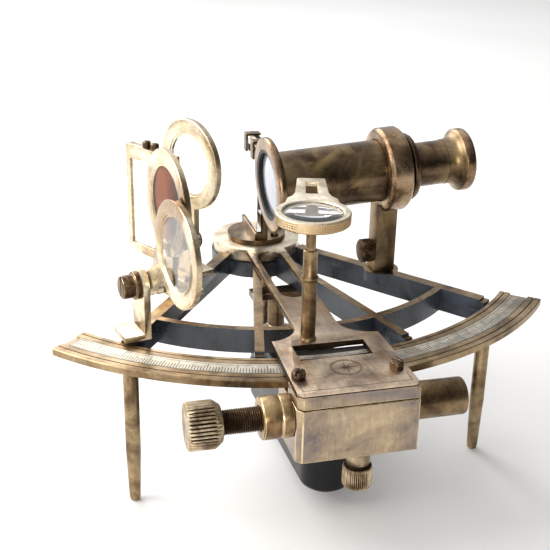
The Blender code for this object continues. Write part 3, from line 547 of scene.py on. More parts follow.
# ---------------- frame, limb, legs and handle
def arm_point(side, radius):
    """Where an outer arm's middle line reaches a radius from the pivot."""
    start = 0.0092
    slope = math.tan(math.radians(37.1))
    a = 1.0 + slope * slope
    b = 2.0 * start * slope
    c = start * start - radius * radius
    reach = (-b + math.sqrt(b * b - 4.0 * a * c)) / (2.0 * a)
    return (side * (start + slope * reach), -reach)


def casting_look(centre, normal):
    """Brass on the ribs' top faces and paint everywhere else."""
    return 1 if normal.z > 0.8 and centre.z > -0.0002 else 0


def make_frame():
    """The cast frame: hub, two outer arms, two struts and the cross rib."""
    casting = rod(0.021, RIB_BOTTOM, HUB_SEAT)
    extra = []
    end = 0.1161
    under_limb = -LIMB_THICK - GAP

    def rib(spot, width, tip, tip_near, tip_far):
        """A rib from the hub to the limb: the bar, its root under the hub and its tip under the limb."""
        extra.append(bar_between(spot(0.0208), spot(end), width, RIB_BOTTOM, RIB_TOP))
        extra.append(bar_between(spot(0.016), spot(0.023), width, RIB_BOTTOM, HUB_SEAT))
        extra.append(bar_between(spot(end - tip_near), spot(end + tip_far), tip, -0.0062, under_limb))

    for side in (-1, 1):
        rib(lambda radius: arm_point(side, radius), 0.005, 0.008, 0.007, 0.008)
        extra.append(rod(0.0046, RIB_BOTTOM, under_limb, 48, at=(side * LEG_X, LEG_Y, 0.0)))
        sweep = side * math.radians(15.0)
        rib(lambda radius: polar(radius, sweep), 0.0036, 0.007, 0.006, 0.007)
    profile = [(0.0925, RIB_BOTTOM), (0.0956, RIB_BOTTOM), (0.0956, RIB_TOP), (0.0925, RIB_TOP)]
    extra.append(arc_bar(profile, math.radians(-41.3), math.radians(41.3), 72))
    extra.append(rod(0.0078, -0.004, RIB_TOP, 48, at=(0.0451, SCOPE_Y, 0.0)))
    fuse(casting, *extra)
    step = [(0.1138, 0.0), (LIMB_OUTER, 0.0), (LIMB_OUTER, 0.01), (0.1138, 0.01)]
    carve(casting, [rod(0.0053, -0.02, 0.02, 48), arc_bar(step, LIMB_LEFT, -LIMB_LEFT, 64)])
    piece("frame_casting", casting, ROOT, "paint arm", "frame_body", ["frame"], 0.0003, 2, 40.0, casting_look)


def limb_look(centre, normal):
    """Dark lines in the two border grooves."""
    radius = math.hypot(centre.x, centre.y)
    inner = 0.119 < radius < 0.1197
    outer = 0.1317 < radius < 0.1324
    return 1 if centre.z < 0.0 and centre.z > -0.0006 and (inner or outer) else 0


def make_limb():
    """The arc with its border grooves, the silvered scale and its division lines."""
    deep = -0.0003
    channel = -0.0008
    profile = [(LIMB_INNER, -LIMB_THICK), (LIMB_OUTER, -LIMB_THICK), (LIMB_OUTER, -0.0003),
               (LIMB_OUTER - 0.0003, 0.0), (0.1323, 0.0), (0.1322, deep), (0.1319, deep), (0.1318, 0.0),
               (SCALE_OUTER, 0.0), (SCALE_OUTER, channel), (SCALE_INNER, channel), (SCALE_INNER, 0.0),
               (0.1196, 0.0), (0.1195, deep), (0.1192, deep), (0.1191, 0.0),
               (LIMB_INNER + 0.0003, 0.0), (LIMB_INNER, -0.0003)]
    limb = arc_bar(profile, LIMB_LEFT, LIMB_RIGHT, 160)
    piece("limb_arc", limb, ROOT, "limb groove", "frame_body", ["limb"], choose=limb_look, smooth=30.0)
    margin = math.radians(1.2)
    strip = [(SCALE_INNER + GAP, channel + GAP), (SCALE_OUTER - GAP, channel + GAP),
             (SCALE_OUTER - GAP, 0.0), (SCALE_INNER + GAP, 0.0)]
    silver = arc_bar(strip, LIMB_LEFT + margin, LIMB_RIGHT - margin, 160)
    piece("scale_arc", silver, ROOT, "silver", "frame_body", ["scale_strip"], smooth=30.0)
    lines = bmesh.new()
    step = math.radians(0.5)
    count = int((LIMB_RIGHT - LIMB_LEFT - 2.4 * margin) / step)
    for index in range(count + 1):
        angle = LIMB_LEFT + 1.2 * margin + index * step
        long = 0.0052 if index % 10 == 0 else 0.0042 if index % 5 == 0 else 0.0032
        add_tick(lines, SCALE_OUTER - 0.0007 - long, SCALE_OUTER - 0.0007, angle, 0.00013, 0.0, 0.00003)
    for radius in (SCALE_OUTER - 0.0006, SCALE_OUTER - 0.0063):
        rings = [(radius, 0.0), (radius + 0.00014, 0.0), (radius + 0.00014, 0.00003), (radius, 0.00003)]
        add_sweep(lines, rings, LIMB_LEFT + margin * 1.1, LIMB_RIGHT - margin * 1.1, 160)
    piece("scale_lines", object_from(lines), ROOT, "tick", "frame_body")


def add_tick(shape, inner, outer, angle, half, low, high):
    """One division line as a thin inlaid bar."""
    along = Vector((math.sin(angle), -math.cos(angle)))
    side = Vector((math.cos(angle), math.sin(angle))) * half
    corners = [along * inner - side, along * outer - side, along * outer + side, along * inner + side]
    add_plate(shape, corners, low, high)


def make_legs():
    """Three turned legs."""
    toe = -PIVOT.z
    shoulder = RIB_BOTTOM - GAP
    profile = [(0.0, toe), (0.0014, toe), (0.002, toe + 0.0005), (0.0023, toe + 0.002), (0.003, -0.046),
               (0.003, -0.014), (0.0028, -0.0136), (0.0028, -0.013), (0.0032, -0.0126),
               (0.0032, shoulder - 0.0004), (0.003, shoulder), (0.0, shoulder)]
    for node, place in (("leg_left", (-LEG_X, LEG_Y)), ("leg_right", (LEG_X, LEG_Y)),
                        ("leg_rear", (0.0, -0.0155))):
        leg = turned(profile, SMALL, at=(*place, 0.0))
        piece(node + "_turned", leg, ROOT, "limb", "frame_body", [node])


def make_handle():
    """Black grip with rounded edges, on its two stand-offs."""
    half = 0.0108
    outline = arc_points((0.0, -0.117 + half), half, 180.0, 360.0, 32)
    outline += arc_points((0.0, -0.0225 - half), half, 0.0, 180.0, 32)
    grip = prism(outline, -0.0635, -0.03)
    piece("grip_block", grip, ROOT, "grip", "frame_body", ["handle_grip"], 0.0028, 6)
    seat = -0.03 + GAP
    hung = RIB_BOTTOM - GAP
    flange = [(0.0, seat), (0.0062, seat), (0.0062, seat + 0.0016), (0.005, seat + 0.0022),
              (0.0038, seat + 0.0034)]
    neck = [(0.0038, hung - 0.003), (0.005, hung - 0.0022), (0.006, hung - 0.0016), (0.006, hung),
            (0.0, hung)]
    front = turned(flange + neck, 64, at=(0.0, -0.094, 0.0))
    piece("grip_post_front", front, ROOT, "bronze edge", "frame_body", ["handle_post_front"], 0.0002, 1)
    rear = turned(flange + [(0.0038, hung - 0.001), (0.0, hung - 0.001)], 64, at=(0.0, -0.0345, 0.0))
    fuse(rear, box((-0.012, 0.012), (-0.0385, -0.0305), (hung - 0.003, hung)))
    piece("grip_post_rear", rear, ROOT, "bronze edge", "frame_body", ["handle_post_rear"], 0.0002, 1)


# ---------------- index arm
def arm_outline():
    """The index arm in plan: hub, strip, concave flares and the wide end plate."""
    hub = HUB_DISC
    half = 0.0088
    side = math.degrees(math.asin(half / hub))
    outline = arc_points((0.0, 0.0), hub, side - 90.0, 270.0 - side, 72)
    neck = 0.098
    flare = 0.109 - neck
    corner = 0.0025
    sides = {}
    for hand in (-1, 1):
        spread_out = 0.0223 + hand * 0.0008 - 0.0012 - half
        edge = []
        for step in range(17):
            angle = math.radians(90.0 * step / 16)
            edge.append((hand * (half + spread_out - spread_out * math.cos(angle)),
                         -neck - flare * math.sin(angle)))
        middle = 0.0008 + hand * (0.0223 - corner)
        start = 180.0 if hand < 0 else 360.0
        edge += arc_points((middle, PLATE_FRONT + corner), corner, start, 270.0, 10)
        sides[hand] = edge
    return outline + sides[-1] + sides[1][::-1]


def plate_look(centre, normal):
    """Painted shade on the window walls and in the side groove; the box's darker tones on the end plate's
    sides as painted shade.
    """
    inside = abs(centre.x) < WINDOW_HALF + 0.0001 and WINDOW_NEAR - 0.0001 < centre.y < WINDOW_FAR + 0.0001
    if inside and abs(normal.z) < 0.5:
        return 2
    if centre.y > -0.106 or centre.z > SEAM_TOP + 0.00001:
        return 0
    if centre.z > SEAM_LOW - 0.00001:
        return 2
    return 3 if abs(normal.z) < 0.5 else 0


def side_groove():
    """A shallow groove round the end plate's sides, just under its top."""
    deep = 0.0004
    round_off = 0.0021
    left = BOX_LEFT + deep
    right = PLATE_RIGHT - deep
    front = PLATE_FRONT + deep
    inner = arc_points((left + round_off, front + round_off), round_off, 180.0, 270.0, 8)
    inner += arc_points((right - round_off, front + round_off), round_off, 270.0, 360.0, 8)
    inner += [(right, -0.08), (left, -0.08)]
    groove = box((-0.04, 0.04), (-0.17, -0.113), (SEAM_LOW, SEAM_TOP))
    return carve(groove, [prism(inner, 0.0, 0.01)])


def make_index_arm():
    """The arm and the end plate in one piece, with painted shade along the strip and a painted reflection
    over the hub.
    """
    plate = prism(arm_outline(), INDEX_BOTTOM, INDEX_TOP)
    fuse(plate, rod(HUB_DISC, HUB_SEAT + GAP, INDEX_TOP - 0.0002, FINE))
    slot = arc_points((0.0, -0.027), 0.0058, 0.0, 180.0, 20)
    slot += arc_points((0.0, -0.066), 0.006, 180.0, 360.0, 20)
    carve(plate, [prism(slot, -0.01, 0.01),
                  box((-WINDOW_HALF, WINDOW_HALF), (WINDOW_NEAR, WINDOW_FAR), (-0.01, 0.01)),
                  side_groove(),
                  rod(0.0035, -0.01, 0.01, 48)])
    piece("index_arm_plate", plate, ARM, "plate edge groove box", "index_arm_body", ["index_arm"], 0.00018, 2,
          choose=plate_look)
    reach = 0.1216
    sweep = math.asin(0.017 / reach)
    front = [polar(reach, -sweep + 2.0 * sweep * step / 32) for step in range(33)]
    vernier = prism([(0.017, -0.1145), (-0.017, -0.1145)] + front, 0.0003, INDEX_BOTTOM - GAP)
    # The vernier plate is near-black: painted shade under the window.
    piece("vernier_arc", vernier, ARM, "black", "index_arm_body", ["vernier_plate"], 0.0001, 1)
    top = INDEX_BOTTOM - GAP
    strip = arc_bar([(reach - 0.003, top), (reach - 0.0001, top), (reach - 0.0001, top + 0.00006),
                     (reach - 0.003, top + 0.00006)], -sweep * 0.98, sweep * 0.98, 48)
    piece("vernier_strip", strip, ARM, "silver", "index_arm_body")
    lines = bmesh.new()
    for index in range(-20, 21):
        long = 0.0024 if index % 10 == 0 else 0.0018 if index % 5 == 0 else 0.0012
        add_tick(lines, reach - 0.0002 - long, reach - 0.0002, index * math.radians(0.3), 0.00009,
                 top + 0.00004, top + 0.0001)
    piece("vernier_lines", object_from(lines), ARM, "tick", "index_arm_body")


def make_engraving():
    """A plain compass star and a border line engraved in the end plate."""
    centre = Vector((0.0008, -0.1345))
    low = INDEX_TOP - 0.00002
    high = INDEX_TOP + 0.00003
    lines = bmesh.new()
    for index in range(8):
        turn = math.radians(45.0 * index)
        tip = 0.0046 if index % 2 == 0 else 0.0028
        waist = 0.0012
        half_turn = turn + math.pi / 8
        points = [centre, centre + tip * Vector((math.cos(turn), math.sin(turn))),
                  centre + waist * Vector((math.cos(half_turn), math.sin(half_turn)))]
        add_plate(lines, points, low, high)
    for radius in (0.0052, 0.0058):
        for index in range(48):
            sector = (7.5 * index, 7.5 * (index + 1), 1)
            inner = arc_points(centre, radius - 0.0001, *sector)
            outer = arc_points(centre, radius + 0.0001, *sector)
            add_plate(lines, [inner[0], outer[0], outer[1], inner[1]], low, high)
    left = -0.0192
    right = 0.0208
    front = -0.1483
    back = -0.1425
    half = 0.00011
    add_plate(lines, [(left, front - half), (right, front - half), (right, front + half),
                      (left, front + half)], low, high)
    for x in (left, right):
        side = [(x - half, front), (x + half, front), (x + half, back), (x - half, back)]
        add_plate(lines, side, low, high)
    piece("plate_engraving", object_from(lines), ARM, "groove", "index_arm_body")


def make_box():
    """The housing, the bridge above it and the two screws through the end plate."""
    chamfer = 0.0021
    outline = [(BOX_LEFT, BOX_BACK), (BOX_LEFT, BOX_FRONT + chamfer), (BOX_LEFT + chamfer, BOX_FRONT),
               (BOX_RIGHT, BOX_FRONT), (BOX_RIGHT, BOX_BACK)]
    wall = 0.0027
    body = prism(outline, BOX_BOTTOM, BOX_TOP)
    slot = arc_points((0.0036, CLAMP_Y), 0.0036, 90.0, 270.0, 16)
    slot += arc_points((0.0092, CLAMP_Y), 0.0036, 270.0, 450.0, 16)
    carve(body, [box((BOX_LEFT + wall, BOX_RIGHT - wall), (BOX_FRONT + wall, BOX_BACK - wall),
                     (BOX_BOTTOM + wall, 0.01)),
                 rod(0.0049, -0.05, 0.05, 48, "X", (0.0, TANGENT_Y, TANGENT_Z)),
                 prism(slot, -0.04, -0.015)])
    piece("clamp_housing", body, ARM, "box edge", "index_arm_body", ["clamp_box"], 0.00035, 3)
    left = BOX_LEFT + 0.0002
    right = BOX_RIGHT - 0.0002
    outline = [(left, -0.1362), (left, BOX_FRONT + chamfer), (left + chamfer, BOX_FRONT),
               (right, BOX_FRONT), (right, -0.1362)]
    piece("bridge_plate", prism(outline, BOX_TOP + 0.0005, INDEX_BOTTOM - 0.0001), ARM, "box edge",
          "index_arm_body", ["clamp_bridge"], 0.0003, 2)
    for side, node in ((-1, "end_screw_left"), (1, "end_screw_right")):
        place = ARM @ Matrix.Translation((side * 0.0183, -0.139, INDEX_TOP))
        place = place @ Matrix.Rotation(math.radians(35.0 * side), 4, "Z")
        slotted(node + "_head", 0.0026, 0.0032, place, "index_arm_body", node)


def thread(start, end, radius, pitch, depth):
    """A screw thread as a profile of many rings, with its ripple function."""
    rings_per_turn = 10
    steps = int((end - start) / pitch * rings_per_turn)
    profile = [(radius, start + (end - start) * step / steps) for step in range(steps + 1)]

    def ripple(place, height, angle):
        phase = ((height - start) / pitch - angle / (2.0 * math.pi)) % 1.0
        return -depth * (1.0 - abs(2.0 * phase - 1.0)) ** 0.8
    return profile, ripple


def make_tangent():
    """Boss, threaded screw, knurled knob and spring barrel on one line."""
    left = BOX_LEFT - GAP
    right = BOX_RIGHT + GAP
    bore = 0.0049
    boss = turned([(bore, -0.0328), (0.0072, -0.0328), (0.0078, -0.0322), (0.0078, -0.0262),
                   (0.0076, -0.026), (0.0076, -0.0257), (0.0078, -0.0255), (0.0078, left), (bore, left)],
                  FINE, "X")
    piece("tangent_boss_turned", boss, TANGENT, "brass edge", "index_arm_body", ["tangent_boss"], 0.00015, 1)
    # The barrel is in the darker arm brass: a painted dark reflection.
    barrel = turned([(0.0, 0.0415), (0.0052, 0.0415), (0.0052, right), (0.007, right), (0.007, 0.0432),
                     (0.0068, 0.0438), (0.0062, 0.044), (0.0, 0.044)], FINE, "X")
    piece("spring_barrel_turned", barrel, TANGENT, "arm", "index_arm_body", ["spring_barrel"])
    thread_start = -0.0463
    thread_end = -0.03
    radius = 0.0046
    pitch = 0.0008
    profile, ripple = thread(thread_start, thread_end, radius, pitch, 0.00055)
    tail = [(radius, -0.015), (0.0028, -0.014), (0.0028, -0.0108), (0.0, -0.0108)]
    shank = [(0.0, thread_start)] + profile + tail
    last = len(profile)

    def on_thread(place, height, angle):
        return ripple(place, height, angle) if 0 < place <= last else 0.0

    def root_look(centre, normal):
        """Dirt and painted shade in the root of the thread."""
        return 1 if centre.x < thread_end and centre.yz.length < radius - 0.00028 else 0

    screw = turned(shank, 48, "X", ripple=on_thread)
    piece("tangent_screw_thread", screw, TANGENT, "screw groove", "tangent_screw_body", ["tangent_screw"],
          choose=root_look, smooth=25.0)
    rim = 0.0087
    low = -0.0585
    high = -0.0494
    knob = turned([(0.0, -0.0588), (0.0066, -0.0588), (0.0074, -0.059), (0.008, -0.059),
                   (rim, low), (rim, -0.056), (rim, -0.053), (rim, -0.05), (rim, high),
                   (0.008, -0.0484), (0.0068, -0.0468), (0.0, -0.0466)], 256, "X",
                  ripple=knurl(38, 0.00075, (4, 5, 6, 7, 8)))
    piece("tangent_knob_knurled", knob, TANGENT, "knob groove", "tangent_screw_body", ["tangent_knob"],
          choose=lambda centre, normal: knurl_look(centre.yz.length, centre.x, rim, low, high),
          smooth=50.0)


def knurl_look(radius, along, rim, low, high, depth=0.00046):
    """Dirt and painted shade in the bottoms of the knurls."""
    return 1 if low < along < high and radius < rim - depth else 0


CLAMP_RIM_LOW = -0.0367
CLAMP_RIM_HIGH = -0.03


def make_clamp_screw():
    """The knurled screw under the box."""
    rim = 0.0057
    profile = [(0.0, -0.0375), (0.0046, -0.0375), (0.0053, -0.0373), (rim, CLAMP_RIM_LOW), (rim, -0.035),
               (rim, -0.0325), (rim, CLAMP_RIM_HIGH), (0.0055, -0.0291), (0.0052, -0.0288), (0.0046, -0.0288),
               (0.0042, -0.0285), (0.0042, -0.0279), (0.0046, -0.0274), (0.0046, -0.018), (0.0032, -0.0174),
               (0.0032, -0.0003), (0.0, -0.0003)]
    screw = turned(profile, 240, ripple=knurl(44, 0.0005, (3, 4, 5, 6)))
    piece("clamp_screw_knurled", screw, CLAMP, "knob groove", "clamp_screw_body", ["clamp_screw"],
          choose=lambda centre, normal: clamp_look(centre, rim), smooth=50.0)


def clamp_look(centre, rim):
    """Dirt and painted shade in the knurls and in the groove under the neck."""
    radius = centre.xy.length
    knurled = knurl_look(radius, centre.z, rim, CLAMP_RIM_LOW, CLAMP_RIM_HIGH, 0.00032)
    in_groove = -0.029 < centre.z < -0.0276 and radius < 0.005
    return 1 if knurled or in_groove else 0


# ---------------- magnifier and index mirror
def make_magnifier():
    """Post, rod, ring with a slotted tab and a fine diamond-knurled rim, and the lens."""
    foot = INDEX_TOP
    post = turned([(0.0, foot), (0.0032, foot), (0.0032, foot + 0.0006), (0.003, foot + 0.001),
                   (0.0028, foot + 0.0012), (0.0028, 0.0278), (0.003, 0.028), (0.0033, 0.0284),
                   (0.0033, 0.0294), (0.003, 0.0298), (0.0027, 0.0302), (0.0027, 0.0388),
                   (0.0026, 0.0398), (0.0022, 0.04), (0.0022, 0.014), (0.0, 0.014)], 64)
    piece("magnifier_post_turned", post, LENS_ROD, "arm", "index_arm_body", ["magnifier_post"])
    low = 0.0565
    high = low + 0.003
    rim_low = low - 0.001
    slide = turned([(0.0, 0.026), (0.0019, 0.026), (0.0019, rim_low - 0.0012), (0.0024, rim_low - 0.0006),
                    (0.0024, rim_low - 0.0001), (0.0, rim_low - 0.0001)], 40)
    piece("magnifier_rod_turned", slide, LENS_ROD, "arm", "magnifier_rod_body", ["magnifier_rod"])
    centre = (0.0, -0.0126)
    rows = 13
    rim = 0.0134
    knurled = high - rim_low - 0.0006
    levels = [rim_low + 0.0003 + knurled * row / (rows - 1) for row in range(rows)]
    profile = [(0.0108, rim_low), (rim - 0.0004, rim_low)]
    profile += [(rim, level) for level in levels]
    profile += [(rim - 0.0004, high), (0.0112, high), (0.0108, high - 0.0005)]

    def ripple(place, height, angle):
        if not 2 <= place < 2 + rows:
            return 0.0
        slant = 2.0 * math.pi * 2.0 * (height - rim_low) / knurled
        ridges = abs(math.sin(KNURLS * angle + slant)) + abs(math.sin(KNURLS * angle - slant))
        return -KNURL_DEPTH * (2.0 - ridges)

    ring = turned(profile, 720, at=(*centre, 0.0), ripple=ripple)
    half = 0.006
    tab = arc_points(centre, 0.0119, 150.0, 30.0, 24)
    tab += [(half + 0.003, 0.0015), (half + 0.0012, 0.004), (half + 0.0002, 0.0075),
            (half - 0.0006, 0.0235)]
    tab += arc_points((half - 0.0016, 0.0235), 0.001, 0.0, 90.0, 5)
    tab += arc_points((-half + 0.0016, 0.0235), 0.001, 90.0, 180.0, 5)
    tab += [(-half - 0.0002, 0.0075), (-half - 0.0012, 0.004), (-half - 0.003, 0.0015)]
    leaf = prism(tab, high - 0.0019, high - 0.0001)
    carve(leaf, [box((-0.0022, 0.0022), (0.0065, 0.0195), (0.0, 0.1))])

    # Painted light: the ring's top and inner faces take the pale cream brass. Dirt and painted shade: the
    # knurl bottoms take the darker arm brass.
    def rim_look(spot, normal):
        radius = (spot.xy - Vector(centre)).length
        if normal.z > 0.5 or radius < rim - 0.0006:
            return 1
        return 2 if radius < rim - 0.00017 else 0
    piece("magnifier_ring", ring, LENS, "magnifier_rim cream arm", "magnifier_holder_body",
          ["magnifier_holder"], choose=rim_look, smooth=30.0)
    # The tab is in the cream brass: painted light on the magnifier's top.
    piece("magnifier_tab", leaf, LENS, "cream edge", "magnifier_holder_body", bevel=0.0002, segments=2)
    curve = ((0.0, 0.0002), (0.004, 0.0003), (0.008, 0.0006), (0.0106, 0.001))
    under = [(radius, low + sag) for radius, sag in curve]
    over = [(radius, high - sag) for radius, sag in reversed(curve)]
    lens = turned(under + over, 72, at=(*centre, 0.0))
    piece("magnifier_lens_glass", lens, LENS, "clear", "magnifier_holder_body", ["magnifier_lens"])


def make_index_mirror():
    """Upright mirror over the pivot on its round base."""
    base_low = INDEX_TOP + GAP
    base_high = base_low + 0.002
    holder = rod(0.0135, base_low, base_high, 72)
    fuse(holder, box((0.0, 0.0024), (-0.012, 0.015), (base_low + 0.0003, 0.05)),
         box((-0.0036, 0.0005), (-0.012, 0.015), (base_low + 0.0003, 0.009)))
    piece("index_mirror_holder", holder, ARM, "arm edge", "index_arm_body", ["index_mirror_frame"], 0.0003, 2)
    glass_pane = box((-0.0027, -GAP), (-0.0112, 0.0142), (0.0093, 0.047))
    piece("index_mirror_pane", glass_pane, ARM, "mirror", "index_arm_body", ["index_mirror"], 0.0003, 1)
    for label, y in (("front", -0.005), ("back", 0.008)):
        clip = box((-0.004, -0.003), (y - 0.0022, y + 0.0022), (0.043, 0.0511))
        fuse(clip, box((-0.0039, 0.003), (y - 0.0022, y + 0.0022), (0.0503, 0.0513)))
        piece("mirror_clip_" + label + "_bent", clip, ARM, "bronze edge", "index_arm_body",
              ["mirror_clip_" + label], 0.0002, 2)
        side = -1 if label == "front" else 1
        place = ARM @ Matrix.Translation((0.007, side * 0.007, base_high))
        slotted("mirror_screw_" + label + "_head", 0.0018, 0.0014, place, "index_arm_body",
                "mirror_screw_" + label)


# ---------------- horizon glass and shades
def make_horizon():
    """Rectangular frame with its pane, on a screwed base, with two screws on top."""
    foot = RIB_TOP + GAP
    thick = (-0.0018, 0.0018)
    near, far, low, high = -0.006, 0.0232, 0.013, 0.06
    holder = box(thick, (near, far), (low, high))
    fuse(holder, box((-0.0016, 0.0016), (-0.0055, 0.0065), (foot + 0.002, low + 0.001)),
         box((-0.0055, 0.006), (-0.015, 0.007), (foot, foot + 0.0024)))
    pane_y = (near + 0.003, far - 0.0024)
    pane_z = (low + 0.004, high - 0.0058)
    carve(holder, [box((-0.01, 0.01), pane_y, pane_z)])
    # The frame is in the pale brass: painted light.
    piece("horizon_holder", holder, HORIZON, "pale edge", "frame_body", ["horizon_frame"], 0.0003, 2)
    pane = box((-0.001, 0.001), (pane_y[0] + 0.0001, pane_y[1] - 0.0001),
               (pane_z[0] + 0.0001, pane_z[1] - 0.0001))
    piece("horizon_pane", pane, HORIZON, "mirror", "frame_body", ["horizon_mirror"], 0.0002, 1)
    for label, y in (("far", 0.012), ("near", 0.007)):
        place = HORIZON @ Matrix.Translation((0.0, y, high))
        slotted("horizon_screw_" + label + "_head", 0.0018, 0.0028, place, "frame_body",
                "horizon_screw_" + label)


def shade(name, pin, offset, lean, outer, inner, reach, body, node, look):
    """A ring with stepped faces on a knuckle, and its glass."""
    place = pin @ Matrix.Rotation(math.radians(lean), 4, "X")
    low, high = offset
    lip = 0.0004
    profile = [(inner, low + lip), (inner + 0.0007, low + lip), (inner + 0.0009, low), (outer - 0.0003, low),
               (outer, low + 0.0003), (outer, high - 0.0003), (outer - 0.0003, high),
               (inner + 0.0009, high), (inner + 0.0007, high - lip), (inner, high - lip)]
    ring = turned(profile, FINE, "X", (0.0, 0.0, reach))
    neck = box((low + 0.0001, high - 0.0001), (-0.0036, 0.0036), (0.0, reach - outer + 0.0012))
    fuse(ring, neck, rod(0.0048, low, high, 48, "X"))
    carve(ring, [rod(0.0019, -0.05, 0.05, 32, "X")])
    # The rings are in the pale brass: painted light.
    piece(name + "_ring", ring, place, "pale edge", body, [node], 0.00015, 1, 45.0)
    middle = (low + high) / 2.0
    pane = turned([(0.0, middle - 0.0007), (inner - 0.0001, middle - 0.0007),
                   (inner - 0.0001, middle + 0.0007), (0.0, middle + 0.0007)], FINE, "X", (0.0, 0.0, reach))
    piece(name + "_pane", pane, place, look, body, [node + "_glass"])


def bracket(name, pin, half, pin_height, foot_x, thick, node):
    """Round-topped upright bracket with a foot."""
    foot = RIB_TOP + GAP - pin_height
    outline = [(-half, foot), (half, foot)] + arc_points((0.0, 0.0), half, 0.0, 180.0, 32)
    upright = prism(outline, -thick, thick, "X")
    fuse(upright, box(foot_x, (-half + 0.0001, half - 0.0001), (foot, foot + 0.0022)))
    carve(upright, [rod(0.0019, -0.02, 0.02, 32, "X")])
    # The brackets are in the pale brass: painted light.
    piece(name, upright, pin, "pale edge", "frame_body", [node], 0.0003, 2)


def make_shades():
    """Two horizon shades on one pin, and the index shade."""
    bracket("shade_bracket_plate", SHADE_PIN, 0.0065, 0.0215, (-0.0092, 0.0013), 0.0013, "shade_bracket")
    screw = turned([(0.0, -0.0082), (0.0036, -0.0082), (0.0042, -0.0079), (0.0045, -0.0074),
                    (0.0045, -0.0034), (0.0054, -0.0032), (0.0054, -0.0016), (0.0016, -0.0016),
                    (0.0016, 0.0078), (0.0046, 0.0078), (0.0046, 0.0092), (0.0042, 0.0094), (0.0, 0.0094)],
                   64, "X")
    carve(screw, [box((-0.01, -0.0074), (-0.0005, 0.0005), (-0.01, 0.01))])
    piece("shade_screw_turned", screw, SHADE_PIN, "screw edge", "frame_body", ["shade_screw"], 0.00015, 1)
    size = (0.0195, 0.0133, 0.0388)
    shade("horizon_shade_front", SHADE_PIN, (0.0017, 0.0041), 53.2, *size,
          "horizon_shade_low_body", "horizon_shade_low", "smoke")
    shade("horizon_shade_back", SHADE_PIN, (0.0051, 0.0075), 21.0, *size,
          "horizon_shade_high_body", "horizon_shade_high", "amber")
    bracket("index_shade_plate", INDEX_PIN, 0.0055, 0.017, (-0.004, 0.0105), 0.0012, "index_shade_bracket")
    pin = turned([(0.0, -0.0046), (0.003, -0.0046), (0.0036, -0.0042), (0.0036, -0.0016), (0.0016, -0.0016),
                  (0.0016, 0.0046), (0.0036, 0.0046), (0.0036, 0.0058), (0.003, 0.0062), (0.0, 0.0062)],
                 48, "X")
    piece("index_shade_pin_turned", pin, INDEX_PIN, "screw", "frame_body", ["index_shade_pin"])
    shade("index_shade_upper", INDEX_PIN, (0.0015, 0.0043), 0.0, 0.0192, 0.0128, 0.034,
          "index_shade_body", "index_shade", "clear")


